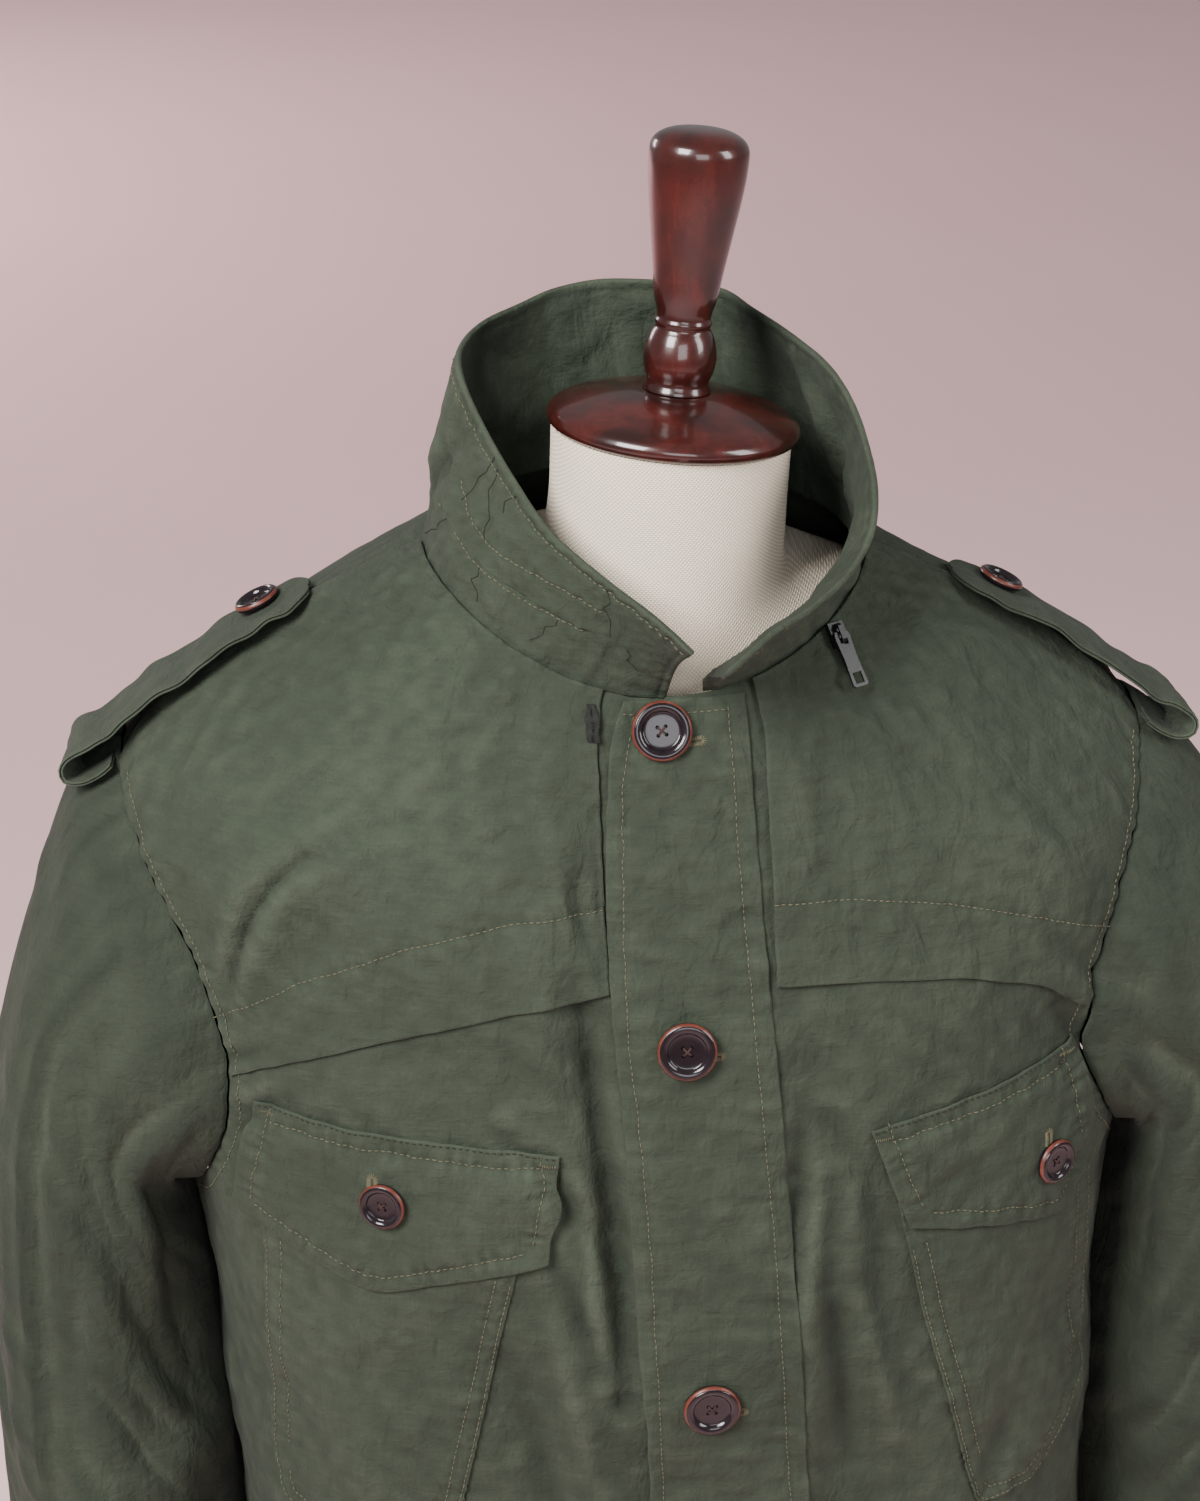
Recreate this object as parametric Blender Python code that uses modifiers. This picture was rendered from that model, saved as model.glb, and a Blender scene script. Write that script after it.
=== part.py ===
"""Field parka buttoned over a limbless dress form that stands on a pole and a round foot.

Metres, +Z up.  The origin is the middle of the foot's underside, the front faces -Y and the
wearer's left is +X.  The jacket hangs from its neckline: v is the way down the cloth from
there and theta the way round, 0 at centre front, 90 degrees at +X and 180 at centre back.
"""
import math

import bmesh
import bpy
import numpy as np
from mathutils import Matrix, Vector
from mathutils.bvhtree import BVHTree

# ------------------------------------------------------------------ driving sizes
CLOTH = 0.002             # wall of the panels and sleeves
PATCH = 0.0014            # wall of the pieces that lie on a panel
COLLAR_WALL = 0.003
STRAP_WALL = 0.0024
SEAM = 0.0003             # gap between neighbouring pieces
LAID = 0.0005             # gap under a piece that lies on a curved panel
FORM_GAP = 0.0005         # between the form and the cloth that rests on it
SLIVER = 0.0006           # corners of a cut sheet that lie closer than this become one
WELD = 0.00002            # joins the caps of curves and turned shapes

TIP_V, ARMPIT_V, HEM_V = 0.150, 0.360, 0.820
ARMHOLE_FRONT = math.radians(36)    # how far the armhole reaches round the front
ARMHOLE_BACK = math.radians(33)
SLEEVE_LENGTH = 0.610

HALF_COLUMNS = 10         # cells across one front
BACK_COLUMNS = 18
ARM_SIDES = 9             # cells down the front, and down the back, of an armhole
COLLAR_STEPS, COLLAR_RISES = 30, 4
COLLAR_START = 0.0075     # share of the collar's height left open at its seam

BUTTON_WIDTH, SMALL_BUTTON_WIDTH = 0.028, 0.023
BUTTON_HEIGHT = 0.0044

CAP_CENTRE = Vector((0.021, -0.010, 1.300))
NECK_TILT = math.radians(6.8)       # the form's neck leans to the wearer's left
CAP_WIDTH = 0.120
CAP_RISE, CAP_DEPTH = 0.013, 0.0068  # above and below its rim
FINIAL_HEIGHT = 0.1215
FORM_BOTTOM = 0.575
FOOT_WIDTH, FOOT_HEIGHT = 0.380, 0.028
POLE_WIDTH = 0.032

OLIVE = (0.068, 0.082, 0.047)
OLIVE_PIECES = (0.072, 0.086, 0.050)
LINEN = (0.56, 0.49, 0.40)
MAHOGANY = (0.052, 0.010, 0.007)
HORN = (0.018, 0.012, 0.013)
BLACK_METAL = (0.02, 0.02, 0.022)
TAPE_BLACK = (0.03, 0.03, 0.03)

# ------------------------------------------------------------------ tables of the shape
# A ring passes through a front, a side and a back point; round_front and round_back say how
# square it is between them, middle_x shifts it and tilt drops its +X side.
RING = ("front_y", "front_z", "side_x", "side_y", "side_z", "back_y", "back_z",
        "round_front", "round_back", "middle_x", "tilt")
JACKET_COLUMNS = ("v",) + RING
JACKET = (
    (0.000, -0.092, 1.192, 0.106, 0.004, 1.235, 0.074, 1.256, 1.9, 2.0, 0.006, 0.055),
    (0.070, -0.108, 1.147, 0.170, 0.006, 1.203, 0.100, 1.213, 2.0, 2.1, 0.003, 0.040),
    (0.150, -0.126, 1.092, 0.250, 0.008, 1.143, 0.120, 1.150, 2.1, 2.3, -0.003, 0.018),
    (0.210, -0.138, 1.046, 0.257, 0.008, 1.078, 0.128, 1.086, 2.2, 2.4, 0.000, 0.010),
    (0.300, -0.150, 0.970, 0.248, 0.006, 0.985, 0.130, 0.985, 2.3, 2.5, 0.000, 0.000),
    (0.380, -0.156, 0.898, 0.236, 0.004, 0.900, 0.126, 0.900, 2.4, 2.5, 0.000, 0.000),
    (0.550, -0.154, 0.730, 0.230, 0.002, 0.730, 0.116, 0.730, 2.5, 2.5, 0.000, 0.000),
    (0.700, -0.156, 0.580, 0.232, 0.000, 0.580, 0.124, 0.580, 2.5, 2.5, 0.000, 0.000),
    (0.820, -0.160, 0.460, 0.238, 0.000, 0.460, 0.132, 0.460, 2.5, 2.5, 0.000, 0.000),
)
NECK_FALL = 0.6           # keeps the front of the neckline high until close to the middle

# Largest folds, each along a line from (x1, v1) to (x2, v2) on the front (0) or the back (1).
# Columns: back, x1, v1, x2, v2, width, height.
FOLDS = (
    (0, -0.036, 0.080, -0.036, 0.400, 0.017, -0.0060),
    (0, -0.136, 0.118, -0.176, 0.160, 0.014, 0.0050),
    (0, -0.176, 0.160, -0.204, 0.215, 0.014, 0.0050),
    (0, -0.150, 0.150, -0.180, 0.205, 0.016, -0.0045),
    (0, 0.165, 0.115, 0.208, 0.200, 0.016, 0.0050),
    (0, 0.078, 0.200, 0.072, 0.350, 0.020, -0.0050),
    (0, 0.108, 0.350, 0.086, 0.540, 0.022, -0.0065),
    (0, -0.095, 0.370, -0.060, 0.560, 0.022, -0.0055),
    (0, -0.170, 0.400, -0.140, 0.640, 0.024, 0.0085),
    (0, -0.110, 0.560, -0.100, 0.860, 0.026, -0.0115),
    (0, 0.150, 0.520, 0.135, 0.860, 0.026, 0.0100),
    (0, -0.050, 0.600, -0.045, 0.860, 0.022, 0.0080),
    (1, -0.175, 0.180, -0.120, 0.420, 0.024, -0.0090),
    (1, 0.175, 0.190, 0.125, 0.440, 0.024, -0.0090),
    (1, -0.060, 0.360, -0.040, 0.860, 0.028, 0.0100),
    (1, 0.075, 0.440, 0.060, 0.860, 0.026, 0.0105),
    (1, 0.010, 0.500, 0.008, 0.860, 0.024, -0.0110),
    (1, -0.150, 0.520, -0.160, 0.860, 0.026, 0.0100),
)

# Rings of a sleeve along its length w, an ellipse between an outer and an inner point.
SLEEVE_COLUMNS = ("w", "out_x", "out_z", "in_x", "in_z", "mid_y", "depth")
SLEEVE = (
    (0.00, 0.250, 1.143, 0.238, 0.922, 0.003, 0.085),
    (0.02, 0.270, 1.128, 0.249, 0.922, 0.003, 0.088),
    (0.06, 0.296, 1.086, 0.254, 0.913, 0.002, 0.090),
    (0.12, 0.320, 1.025, 0.254, 0.888, 0.000, 0.090),
    (0.18, 0.335, 0.965, 0.251, 0.853, 0.000, 0.088),
    (0.26, 0.348, 0.885, 0.248, 0.805, 0.000, 0.086),
    (0.38, 0.354, 0.765, 0.246, 0.715, -0.006, 0.080),
    (0.50, 0.350, 0.645, 0.245, 0.615, -0.016, 0.072),
    (0.61, 0.338, 0.530, 0.247, 0.520, -0.022, 0.064),
)
# Sleeve folds from (w1, turn1) to (w2, turn2); turn is 0 outside, 90 in front, 180 inside.
# Columns: w1, turn1, w2, turn2, width, height.
SLEEVE_FOLDS = (
    (0.040, 40, 0.560, 62, 0.016, 0.0060),
    (0.060, 78, 0.240, 118, 0.018, -0.0060),
    (0.240, 118, 0.470, 96, 0.020, -0.0050),
    (0.300, 150, 0.400, 60, 0.020, 0.0050),
    (0.360, 170, 0.470, 80, 0.020, -0.0055),
    (0.080, 292, 0.330, 250, 0.020, -0.0060),
    (0.330, 300, 0.430, 210, 0.020, 0.0055),
    (0.430, 320, 0.540, 240, 0.020, -0.0050),
)
SLEEVE_ROWS = (0.0005, 0.02, 0.05, 0.09, 0.13, 0.18, 0.23, 0.28, 0.33, 0.38, 0.43, 0.48,
               0.525, 0.57, SLEEVE_LENGTH)

# Top edge of the collar, by the turn in degrees from its right front end round the back;
# flare bends the wall between seam and edge outwards, or inwards where it is negative.
EDGE_COLUMNS = ("turn", "x", "y", "z", "flare")
COLLAR_EDGE = (
    (-1, 0.015, -0.138, 1.228, -0.010),
    (13, 0.001, -0.125, 1.240, -0.008),
    (35, -0.021, -0.096, 1.252, -0.004),
    (55, -0.042, -0.072, 1.267, 0.000),
    (75, -0.0565, -0.045, 1.284, 0.003),
    (96, -0.0705, -0.018, 1.305, 0.004),
    (111, -0.079, -0.005, 1.325, 0.004),
    (124, -0.078, 0.016, 1.333, 0.004),
    (137, -0.067, 0.035, 1.339, 0.004),
    (152, -0.048, 0.051, 1.343, 0.004),
    (167, -0.028, 0.068, 1.346, 0.004),
    (182, 0.000, 0.076, 1.347, 0.004),
    (203, 0.049, 0.057, 1.345, 0.004),
    (217, 0.065, 0.035, 1.339, 0.004),
    (234, 0.083, 0.009, 1.330, 0.004),
    (249, 0.096, -0.018, 1.321, 0.002),
    (260, 0.105, -0.030, 1.305, 0.000),
    (275, 0.108, -0.056, 1.290, -0.004),
    (286, 0.108, -0.075, 1.278, -0.006),
    (296, 0.105, -0.083, 1.261, -0.008),
    (308, 0.092, -0.102, 1.249, -0.010),
    (322, 0.072, -0.119, 1.239, -0.010),
    (335, 0.053, -0.130, 1.232, -0.010),
    (349, 0.029, -0.144, 1.218, -0.010),
)

# The form: its neck above the cloth, and its trunk inside it.
NECK_TOP = (CAP_CENTRE.z + CAP_CENTRE.x * math.tan(NECK_TILT)
            - (CAP_DEPTH + SEAM) / math.cos(NECK_TILT))
NECK = (
    (-0.0660, NECK_TOP, 0.0565, -0.010, NECK_TOP, 0.046, NECK_TOP, 2.0, 2.0, 0.0195,
     math.tan(NECK_TILT)),
    (-0.0670, 1.255, 0.0565, -0.010, 1.258, 0.048, 1.262, 2.0, 2.0, 0.0165, 0.100),
    (-0.0690, 1.218, 0.0600, -0.009, 1.236, 0.052, 1.248, 2.0, 2.0, 0.0130, 0.080),
    (-0.0740, 1.192, 0.0760, -0.006, 1.226, 0.059, 1.239, 2.0, 2.0, 0.0100, 0.070),
    (-0.0830, 1.176, 0.1000, -0.002, 1.217, 0.067, 1.235, 2.0, 2.0, 0.0060, 0.055),
)
SHOULDER_ROWS = (0.070, 0.110)      # rows of the panels that the form's shoulders follow
SHOULDER_UNDER = 0.0050             # how much further in they lie, away from the ridge
TRUNK = (
    (-0.113, 1.094, 0.238, 0.008, 1.138, 0.106, 1.145, 2.0, 2.0, -0.003, 0.018),
    (-0.117, 1.060, 0.238, 0.008, 1.095, 0.110, 1.095, 2.0, 2.1, 0.000, 0.012),
    (-0.119, 1.020, 0.222, 0.008, 1.035, 0.111, 1.035, 2.1, 2.2, 0.000, 0.006),
    (-0.122, 0.965, 0.192, 0.006, 0.975, 0.108, 0.975, 2.2, 2.4, 0.000, 0.000),
    (-0.119, 0.880, 0.170, 0.002, 0.880, 0.098, 0.880, 2.2, 2.3, 0.000, 0.000),
    (-0.106, 0.770, 0.158, 0.000, 0.770, 0.086, 0.770, 2.2, 2.3, 0.000, 0.000),
    (-0.106, 0.670, 0.168, 0.000, 0.670, 0.096, 0.670, 2.2, 2.3, 0.000, 0.000),
    (-0.108, 0.600, 0.176, 0.000, 0.600, 0.108, 0.600, 2.2, 2.3, 0.000, 0.000),
    (-0.098, FORM_BOTTOM, 0.166, 0.000, FORM_BOTTOM, 0.098, FORM_BOTTOM, 2.2, 2.3, 0.0, 0.0),
)
FORM_SIDES = 28

# Free lower edge of each yoke, from its inner end to the armhole.
YOKE_EDGE = {
    "right": ((-0.025, -0.134, 1.061), (-0.124, -0.126, 1.041), (-0.208, -0.090, 1.008)),
    "left": ((0.050, -0.133, 1.060), (0.140, -0.119, 1.051), (0.221, -0.078, 1.017)),
}
YOKE_SHORT = 0.003        # how far a yoke ends before the armhole
YOKE_LAID = 0.0009
YOKE_BELOW = 0.0008       # how far below the collar's seam it starts
YOKE_INNER_X = {"right": -0.0255, "left": 0.0515}
PLACKET_FREE_EDGE = ((-0.0230, 1.170), (-0.0165, 0.800))
PLACKET_SEWN_EDGE = ((0.0445, 1.170), (0.0630, 0.800))
PLACKET_STAND = 0.0028    # how far the placket's free edge stands off the front
PLACKET_BEND = 0.034      # how far in from there it lies flat
PLACKET_BELOW = 0.0015    # how far below the collar's seam it starts
PLACKET_CREASE = 0.012    # from each edge to a row of its own points

# Chest pockets and their flaps as corners seen from the front, (x, z), clockwise.
POCKET = {
    "right": ((-0.199, 0.965), (-0.066, 0.965), (-0.1100, 0.791), (-0.1185, 0.757),
              (-0.160, 0.757), (-0.203, 0.790)),
    "left": ((0.104, 0.965), (0.208, 0.965), (0.214, 0.925), (0.219, 0.800), (0.184, 0.755),
             (0.151, 0.755)),
}
FLAP = {
    "right": ((-0.196, 1.000), (-0.053, 0.985), (-0.062, 0.929), (-0.145, 0.911),
              (-0.211, 0.938)),
    "left": ((0.094, 0.985), (0.203, 1.001), (0.213, 0.942), (0.194, 0.911), (0.114, 0.930)),
}
FLAP_BUTTON = {"right": (-0.140, 0.952), "left": (0.183, 0.941)}
FLAP_HANG = 0.020         # below its sewn edge a flap lies over the pocket
FRONT_BUTTONS = ((0.0000, 1.171), (0.002, 1.030), (0.008, 0.841), (0.009, 0.690), (0.009, 0.540))

# Shoulder strap: x from the middle and height of its underside over the shoulder's ridge.
STRAP_TOP = ((0.156, 0.0004), (0.164, 0.0010), (0.180, 0.0040), (0.200, 0.0073),
             (0.220, 0.0115), (0.238, 0.0155))
# Then its folded outer end, as steps (x, z) from the shoulder's tip, back to the armhole seam.
STRAP_FOLD = ((0.010, 0.0140), (0.022, 0.0068), (0.029, -0.0010), (0.0285, -0.0075),
              (0.021, -0.0085), (0.012, -0.0040), (0.004, 0.0008))
STRAP_MIDDLE_Y = 0.006
STRAP_HALF_WIDTH = (0.0225, 0.0265)     # at the inner point and at the outer fold
STRAP_POINT = (0.008, 0.018)            # half widths of the first two stations
STRAP_BUTTON_X = 0.182

ZIP_THETA = math.radians(48)
ZIP_V = 0.0085
PULL_LENGTH, PULL_WIDTH, PULL_THICK = 0.027, 0.0085, 0.0012
SLIDER_LENGTH, SLIDER_WIDTH, SLIDER_THICK = 0.012, 0.0085, 0.0028

TAPE_WALL = 0.001
TAPE = ((-0.0300, 1.189), (-0.0242, 1.189), (-0.0242, 1.173), (-0.0300, 1.173))


# ------------------------------------------------------------------ numbers to shapes
def smooth(xs, ys, x):
    """Cubic through the points (xs, ys), read at x."""
    xs, ys, x = (np.asarray(k, float) for k in (xs, ys, x))
    slope = np.empty_like(ys)
    slope[1:-1] = (ys[2:] - ys[:-2]) / (xs[2:] - xs[:-2])
    slope[0] = (ys[1] - ys[0]) / (xs[1] - xs[0])
    slope[-1] = (ys[-1] - ys[-2]) / (xs[-1] - xs[-2])
    i = np.clip(np.searchsorted(xs, x, side="right") - 1, 0, len(xs) - 2)
    h = xs[i + 1] - xs[i]
    t = (x - xs[i]) / h
    return ((2 * t**3 - 3 * t**2 + 1) * ys[i] + (t**3 - 2 * t**2 + t) * h * slope[i]
            + (3 * t**2 - 2 * t**3) * ys[i + 1] + (t**3 - t**2) * h * slope[i + 1])


def read(table, columns, x):
    """Every column of a table at x, as a dictionary; x runs along the first column."""
    rows = np.array(table)
    return {name: smooth(rows[:, 0], rows[:, k], x) for k, name in enumerate(columns)}


def bump(x, y, line, width, height):
    """A soft ridge or trough along a line, fading at both ends."""
    x1, y1, x2, y2 = line
    length = math.hypot(x2 - x1, y2 - y1)
    t = np.clip(((x - x1) * (x2 - x1) + (y - y1) * (y2 - y1)) / length**2, 0, 1)
    away = np.hypot(x - x1 - t * (x2 - x1), y - y1 - t * (y2 - y1))
    return height * np.exp(-(away / width) ** 2) * np.sin(np.pi * np.clip(t, 0.08, 0.92)) ** 0.6


def ring_point(m, theta, fall=1.0):
    """Point of a ring at theta, as an array (..., 3)."""
    front = np.cos(theta) >= 0
    n = np.where(front, m["round_front"], m["round_back"])
    s = np.sign(np.sin(theta)) * np.abs(np.sin(theta)) ** (2 / n)
    c = np.abs(np.cos(theta)) ** (2 / n)
    end_y = np.where(front, m["front_y"], m["back_y"])
    end_z = np.where(front, m["front_z"], m["back_z"])
    x = m["side_x"] * s + m["middle_x"]
    y = m["side_y"] + (end_y - m["side_y"]) * c
    z = m["side_z"] + (end_z - m["side_z"]) * c ** np.where(front, fall, 1.0) - m["tilt"] * x
    return np.stack(np.broadcast_arrays(x, y, z), -1)


def bare_jacket(theta, v):
    """The jacket's outside before its folds."""
    fall = 1 + NECK_FALL * np.clip(1 - v / TIP_V, 0, 1)
    return ring_point(read(JACKET, JACKET_COLUMNS, v), theta, fall)


def unit(a):
    return a / np.maximum(np.linalg.norm(a, axis=-1, keepdims=True), 1e-12)


def surface_normal(shape, a, b, step_a=0.004, step_b=0.002):
    """Normal of shape(a, b) from small steps both ways."""
    along_a = shape(a + step_a, b) - shape(a - step_a, b)
    along_b = shape(a, b + step_b) - shape(a, b - step_b)
    return unit(np.cross(along_b, along_a))


def jacket(theta, v):
    """The jacket's outside with its folds."""
    theta, v = np.broadcast_arrays(np.asarray(theta, float), np.asarray(v, float))
    p = bare_jacket(theta, v)
    lift = np.zeros_like(v)
    for back, x1, v1, x2, v2, width, height in FOLDS:
        side = np.cos(theta) < 0 if back else np.cos(theta) >= 0
        fade = np.clip(np.abs(np.cos(theta)) / 0.25, 0, 1)
        lift += np.where(side, bump(p[..., 0], v, (x1, v1, x2, v2), width, height) * fade, 0)
    return p + surface_normal(bare_jacket, theta, v) * lift[..., None]


def jacket_normal(theta, v):
    """Outward normal of the jacket."""
    return surface_normal(jacket, theta, v)


def armhole(turn, side):
    """theta and v round an armhole: turn 0 at the tip, 90 degrees in front, 180 the armpit."""
    middle, half = (TIP_V + ARMPIT_V) / 2, (ARMPIT_V - TIP_V) / 2
    reach = np.where(np.sin(turn) > 0, ARMHOLE_FRONT, ARMHOLE_BACK) * np.sin(turn)
    return side * (math.pi / 2 - reach), middle - half * np.cos(turn)


def bare_sleeve(w, turn, side):
    """The sleeve's outside before its folds; its first ring is the armhole itself."""
    def ellipse(at):
        m = read(SLEEVE, SLEEVE_COLUMNS, at)
        c = np.cos(turn)
        return np.stack(np.broadcast_arrays(
            (m["out_x"] + m["in_x"]) / 2 + (m["out_x"] - m["in_x"]) / 2 * c,
            m["mid_y"] - m["depth"] * np.sin(turn),
            (m["out_z"] + m["in_z"]) / 2 + (m["out_z"] - m["in_z"]) / 2 * c), -1)
    mirror = np.array((side, 1, 1))
    theta, v = armhole(turn, side)
    near = np.clip(1 - w / 0.10, 0, 1)
    near = near * near * (3 - 2 * near)
    return (ellipse(w) + (jacket(theta, v) * mirror - ellipse(0 * w)) * near[..., None]) * mirror


def sleeve_normal(w, turn, side, shape):
    return surface_normal(lambda t, k: shape(k, t, side), turn, w) * -side


def sleeve(w, turn, side):
    """The sleeve's outside with its folds, as many and as deep on both arms."""
    w, turn = np.broadcast_arrays(np.asarray(w, float), np.asarray(turn, float))
    p = bare_sleeve(w, turn, side)
    lift = np.zeros_like(w)
    round_the_arm = 0.080     # metres of cloth for a radian of turn
    for w1, turn1, w2, turn2, width, height in SLEEVE_FOLDS:
        line = (w1, math.radians(turn1) * round_the_arm, w2, math.radians(turn2) * round_the_arm)
        lift += bump(w, turn % (2 * math.pi) * round_the_arm, line, width, height)
    return p + sleeve_normal(w, turn, side, bare_sleeve) * lift[..., None]


def collar(turn, rise):
    """The collar's outside; turn in degrees, rise 0 at the seam and 1 at the top edge."""
    turn, rise = np.broadcast_arrays(np.asarray(turn, float), np.asarray(rise, float))
    m = read(COLLAR_EDGE, EDGE_COLUMNS, turn)
    top = np.stack([m["x"], m["y"], m["z"]], -1)
    base = jacket(np.radians(-turn), 0 * turn)
    out = np.stack([-np.sin(np.radians(turn)), -np.cos(np.radians(turn)), 0 * turn], -1)
    return base + (top - base) * rise[..., None] + out * (m["flare"] * np.sin(np.pi * rise))[..., None]


# ------------------------------------------------------------------ points to meshes
def material(name, colour, roughness, metallic=0.0):
    made = bpy.data.materials.new(name)
    made.use_nodes = True
    shader = made.node_tree.nodes["Principled BSDF"]
    shader.inputs["Base Color"].default_value = (*colour, 1)
    shader.inputs["Roughness"].default_value = roughness
    shader.inputs["Metallic"].default_value = metallic
    made.diffuse_color = (*colour, 1)
    return made


def place(name, mesh, finish, matrix=None, parent=None):
    """Put a mesh into the collection as one named object with its own material."""
    thing = bpy.data.objects.new(name, mesh)
    PARKA.objects.link(thing)
    mesh.materials.clear()
    mesh.materials.append(material(name, *finish))
    if matrix is not None:
        thing.matrix_world = matrix
    if parent is not None:
        thing.parent = parent
    return thing


def sheet(points, normals):
    """Triangles through a grid of points, open, with the outward normal kept on each vertex."""
    rows, columns = points.shape[:2]
    bm = bmesh.new()
    out = bm.verts.layers.float_vector.new("out")
    grid = []
    for p, n in zip(points.reshape(-1, 3), normals.reshape(-1, 3)):
        vertex = bm.verts.new(p)
        vertex[out] = n
        grid.append(vertex)
    for r in range(rows - 1):
        for c in range(columns - 1):
            a, b = grid[r * columns + c], grid[r * columns + c + 1]
            d, e = grid[(r + 1) * columns + c], grid[(r + 1) * columns + c + 1]
            bm.faces.new((a, d, b))
            bm.faces.new((b, d, e))
    return bm


def cut(bm, point, away):
    """Remove what lies beyond a plane, on the side that away points to."""
    everything = bm.verts[:] + bm.edges[:] + bm.faces[:]
    bmesh.ops.bisect_plane(bm, geom=everything, dist=1e-7, plane_co=point, plane_no=away,
                           clear_outer=True)


def crease(bm, point, across):
    """Add an edge along a plane and remove nothing."""
    everything = bm.verts[:] + bm.edges[:] + bm.faces[:]
    bmesh.ops.bisect_plane(bm, geom=everything, dist=1e-7, plane_co=point, plane_no=across)


def cut_outline(bm, corners):
    """Keep what a convex outline of (x, z) corners, clockwise from the front, holds."""
    for (x1, z1), (x2, z2) in zip(corners, corners[1:] + corners[:1]):
        cut(bm, (x1, 0, z1), (-(z2 - z1), 0, x2 - x1))


def wall(name, bm, lift, thickness):
    """Close a sheet into a wall: lift(point) is its underside's height over the sheet."""
    bmesh.ops.remove_doubles(bm, verts=bm.verts[:], dist=SLIVER)
    bmesh.ops.dissolve_degenerate(bm, edges=bm.edges[:], dist=SLIVER / 3)
    bmesh.ops.triangulate(bm, faces=bm.faces[:])
    out = bm.verts.layers.float_vector["out"]
    bm.verts.ensure_lookup_table()
    bm.verts.index_update()
    low, high = [], []
    for vertex in bm.verts:
        n = vertex[out].normalized()
        h = lift(vertex.co) if callable(lift) else lift
        low.append(vertex.co + n * h)
        high.append(vertex.co + n * (h + thickness))
    count = len(low)
    tops = [[k.index + count for k in face.verts] for face in bm.faces]
    unders = [[k.index for k in reversed(face.verts)] for face in bm.faces]
    rims = []
    for edge in bm.edges:
        if edge.is_boundary:
            loop = edge.link_loops[0]
            a, b = loop.vert.index, loop.link_loop_next.vert.index
            rims += [[b, a, a + count], [b, a + count, b + count]]
    bm.free()
    return closed_mesh(name, [tuple(p) for p in low + high], unders + tops + rims)


def tube(name, outer, inner):
    """A wall between two grids of rings that close on themselves, open at both ends."""
    rows, sides = outer.shape[:2]
    verts = [tuple(p) for p in outer.reshape(-1, 3)] + [tuple(p) for p in inner.reshape(-1, 3)]
    count = rows * sides
    faces = []
    for r in range(rows - 1):
        for c in range(sides):
            a, b = r * sides + c, r * sides + (c + 1) % sides
            faces += [(a, a + sides, b), (b, a + sides, b + sides)]
            faces += [(count + a, count + b, count + a + sides),
                      (count + b, count + b + sides, count + a + sides)]
    for r in (0, rows - 1):
        for c in range(sides):
            a, b = r * sides + c, r * sides + (c + 1) % sides
            faces += [(a, b, count + a), (b, count + b, count + a)]
    return closed_mesh(name, verts, faces)


def loft(name, rings):
    """One solid body through rings, capped flat at both ends."""
    rows, sides = rings.shape[:2]
    verts = [tuple(p) for p in rings.reshape(-1, 3)]
    verts += [tuple(rings[0].mean(0)), tuple(rings[-1].mean(0))]
    top, bottom = rows * sides, rows * sides + 1
    faces = []
    for r in range(rows - 1):
        for c in range(sides):
            a, b = r * sides + c, r * sides + (c + 1) % sides
            faces += [(a, a + sides, b), (b, a + sides, b + sides)]
    for c in range(sides):
        after = (c + 1) % sides
        faces += [(top, c, after), (bottom, (rows - 1) * sides + after, (rows - 1) * sides + c)]
    return closed_mesh(name, verts, faces)


def closed_mesh(name, verts, faces):
    mesh = bpy.data.meshes.new(name)
    mesh.from_pydata(verts, [], faces)
    mesh.validate()
    return finished(mesh)


def finished(mesh, weld=None, sharp=50):
    """Weld loose caps, turn the faces out and shade smooth up to a sharp angle in degrees."""
    bm = bmesh.new()
    bm.from_mesh(mesh)
    if weld is not None:
        bmesh.ops.remove_doubles(bm, verts=bm.verts[:], dist=weld)
    bmesh.ops.recalc_face_normals(bm, faces=bm.faces[:])
    bm.to_mesh(mesh)
    bm.free()
    mesh.shade_smooth()
    mesh.set_sharp_from_angle(angle=math.radians(sharp))
    return mesh


def evaluated_mesh(source):
    """The mesh an object makes; the object itself is removed."""
    graph = bpy.context.evaluated_depsgraph_get()
    mesh = bpy.data.meshes.new_from_object(source.evaluated_get(graph))
    bpy.data.objects.remove(source)
    return mesh


def turned(name, profile, sides):
    """A Screw of a profile of (radius, height) that runs down the outer side."""
    curve = bpy.data.meshes.new(name + "_profile")
    edges = [(k, k + 1) for k in range(len(profile) - 1)]
    curve.from_pydata([(r, 0, z) for r, z in profile], edges, [])
    source = bpy.data.objects.new(name + "_profile", curve)
    PARKA.objects.link(source)
    screw = source.modifiers.new("turn", "SCREW")
    screw.steps = screw.render_steps = sides
    screw.use_merge_vertices = True
    screw.merge_threshold = WELD
    mesh = evaluated_mesh(source)
    bpy.data.meshes.remove(curve)
    mesh.name = name
    return finished(mesh, WELD, 40)


# ------------------------------------------------------------------ the cloth
def panel_rows():
    down_the_arm = np.pi * np.arange(1, ARM_SIDES) / ARM_SIDES
    armhole_rows = (TIP_V + ARMPIT_V) / 2 - (ARMPIT_V - TIP_V) / 2 * np.cos(down_the_arm)
    return np.concatenate([(0.0, 0.035, 0.070, 0.110, TIP_V), armhole_rows,
                           (ARMPIT_V, 0.40, 0.45, 0.50, 0.56, 0.62, 0.69, 0.76, HEM_V)])


def seam_direction(turn, side):
    """The way the cut edges of panel and sleeve both face at an armhole."""
    theta, v = armhole(turn, side)
    w = np.full_like(theta, SLEEVE_ROWS[0])
    return unit(jacket_normal(theta, v) + sleeve_normal(w, turn, side, sleeve))


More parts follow.
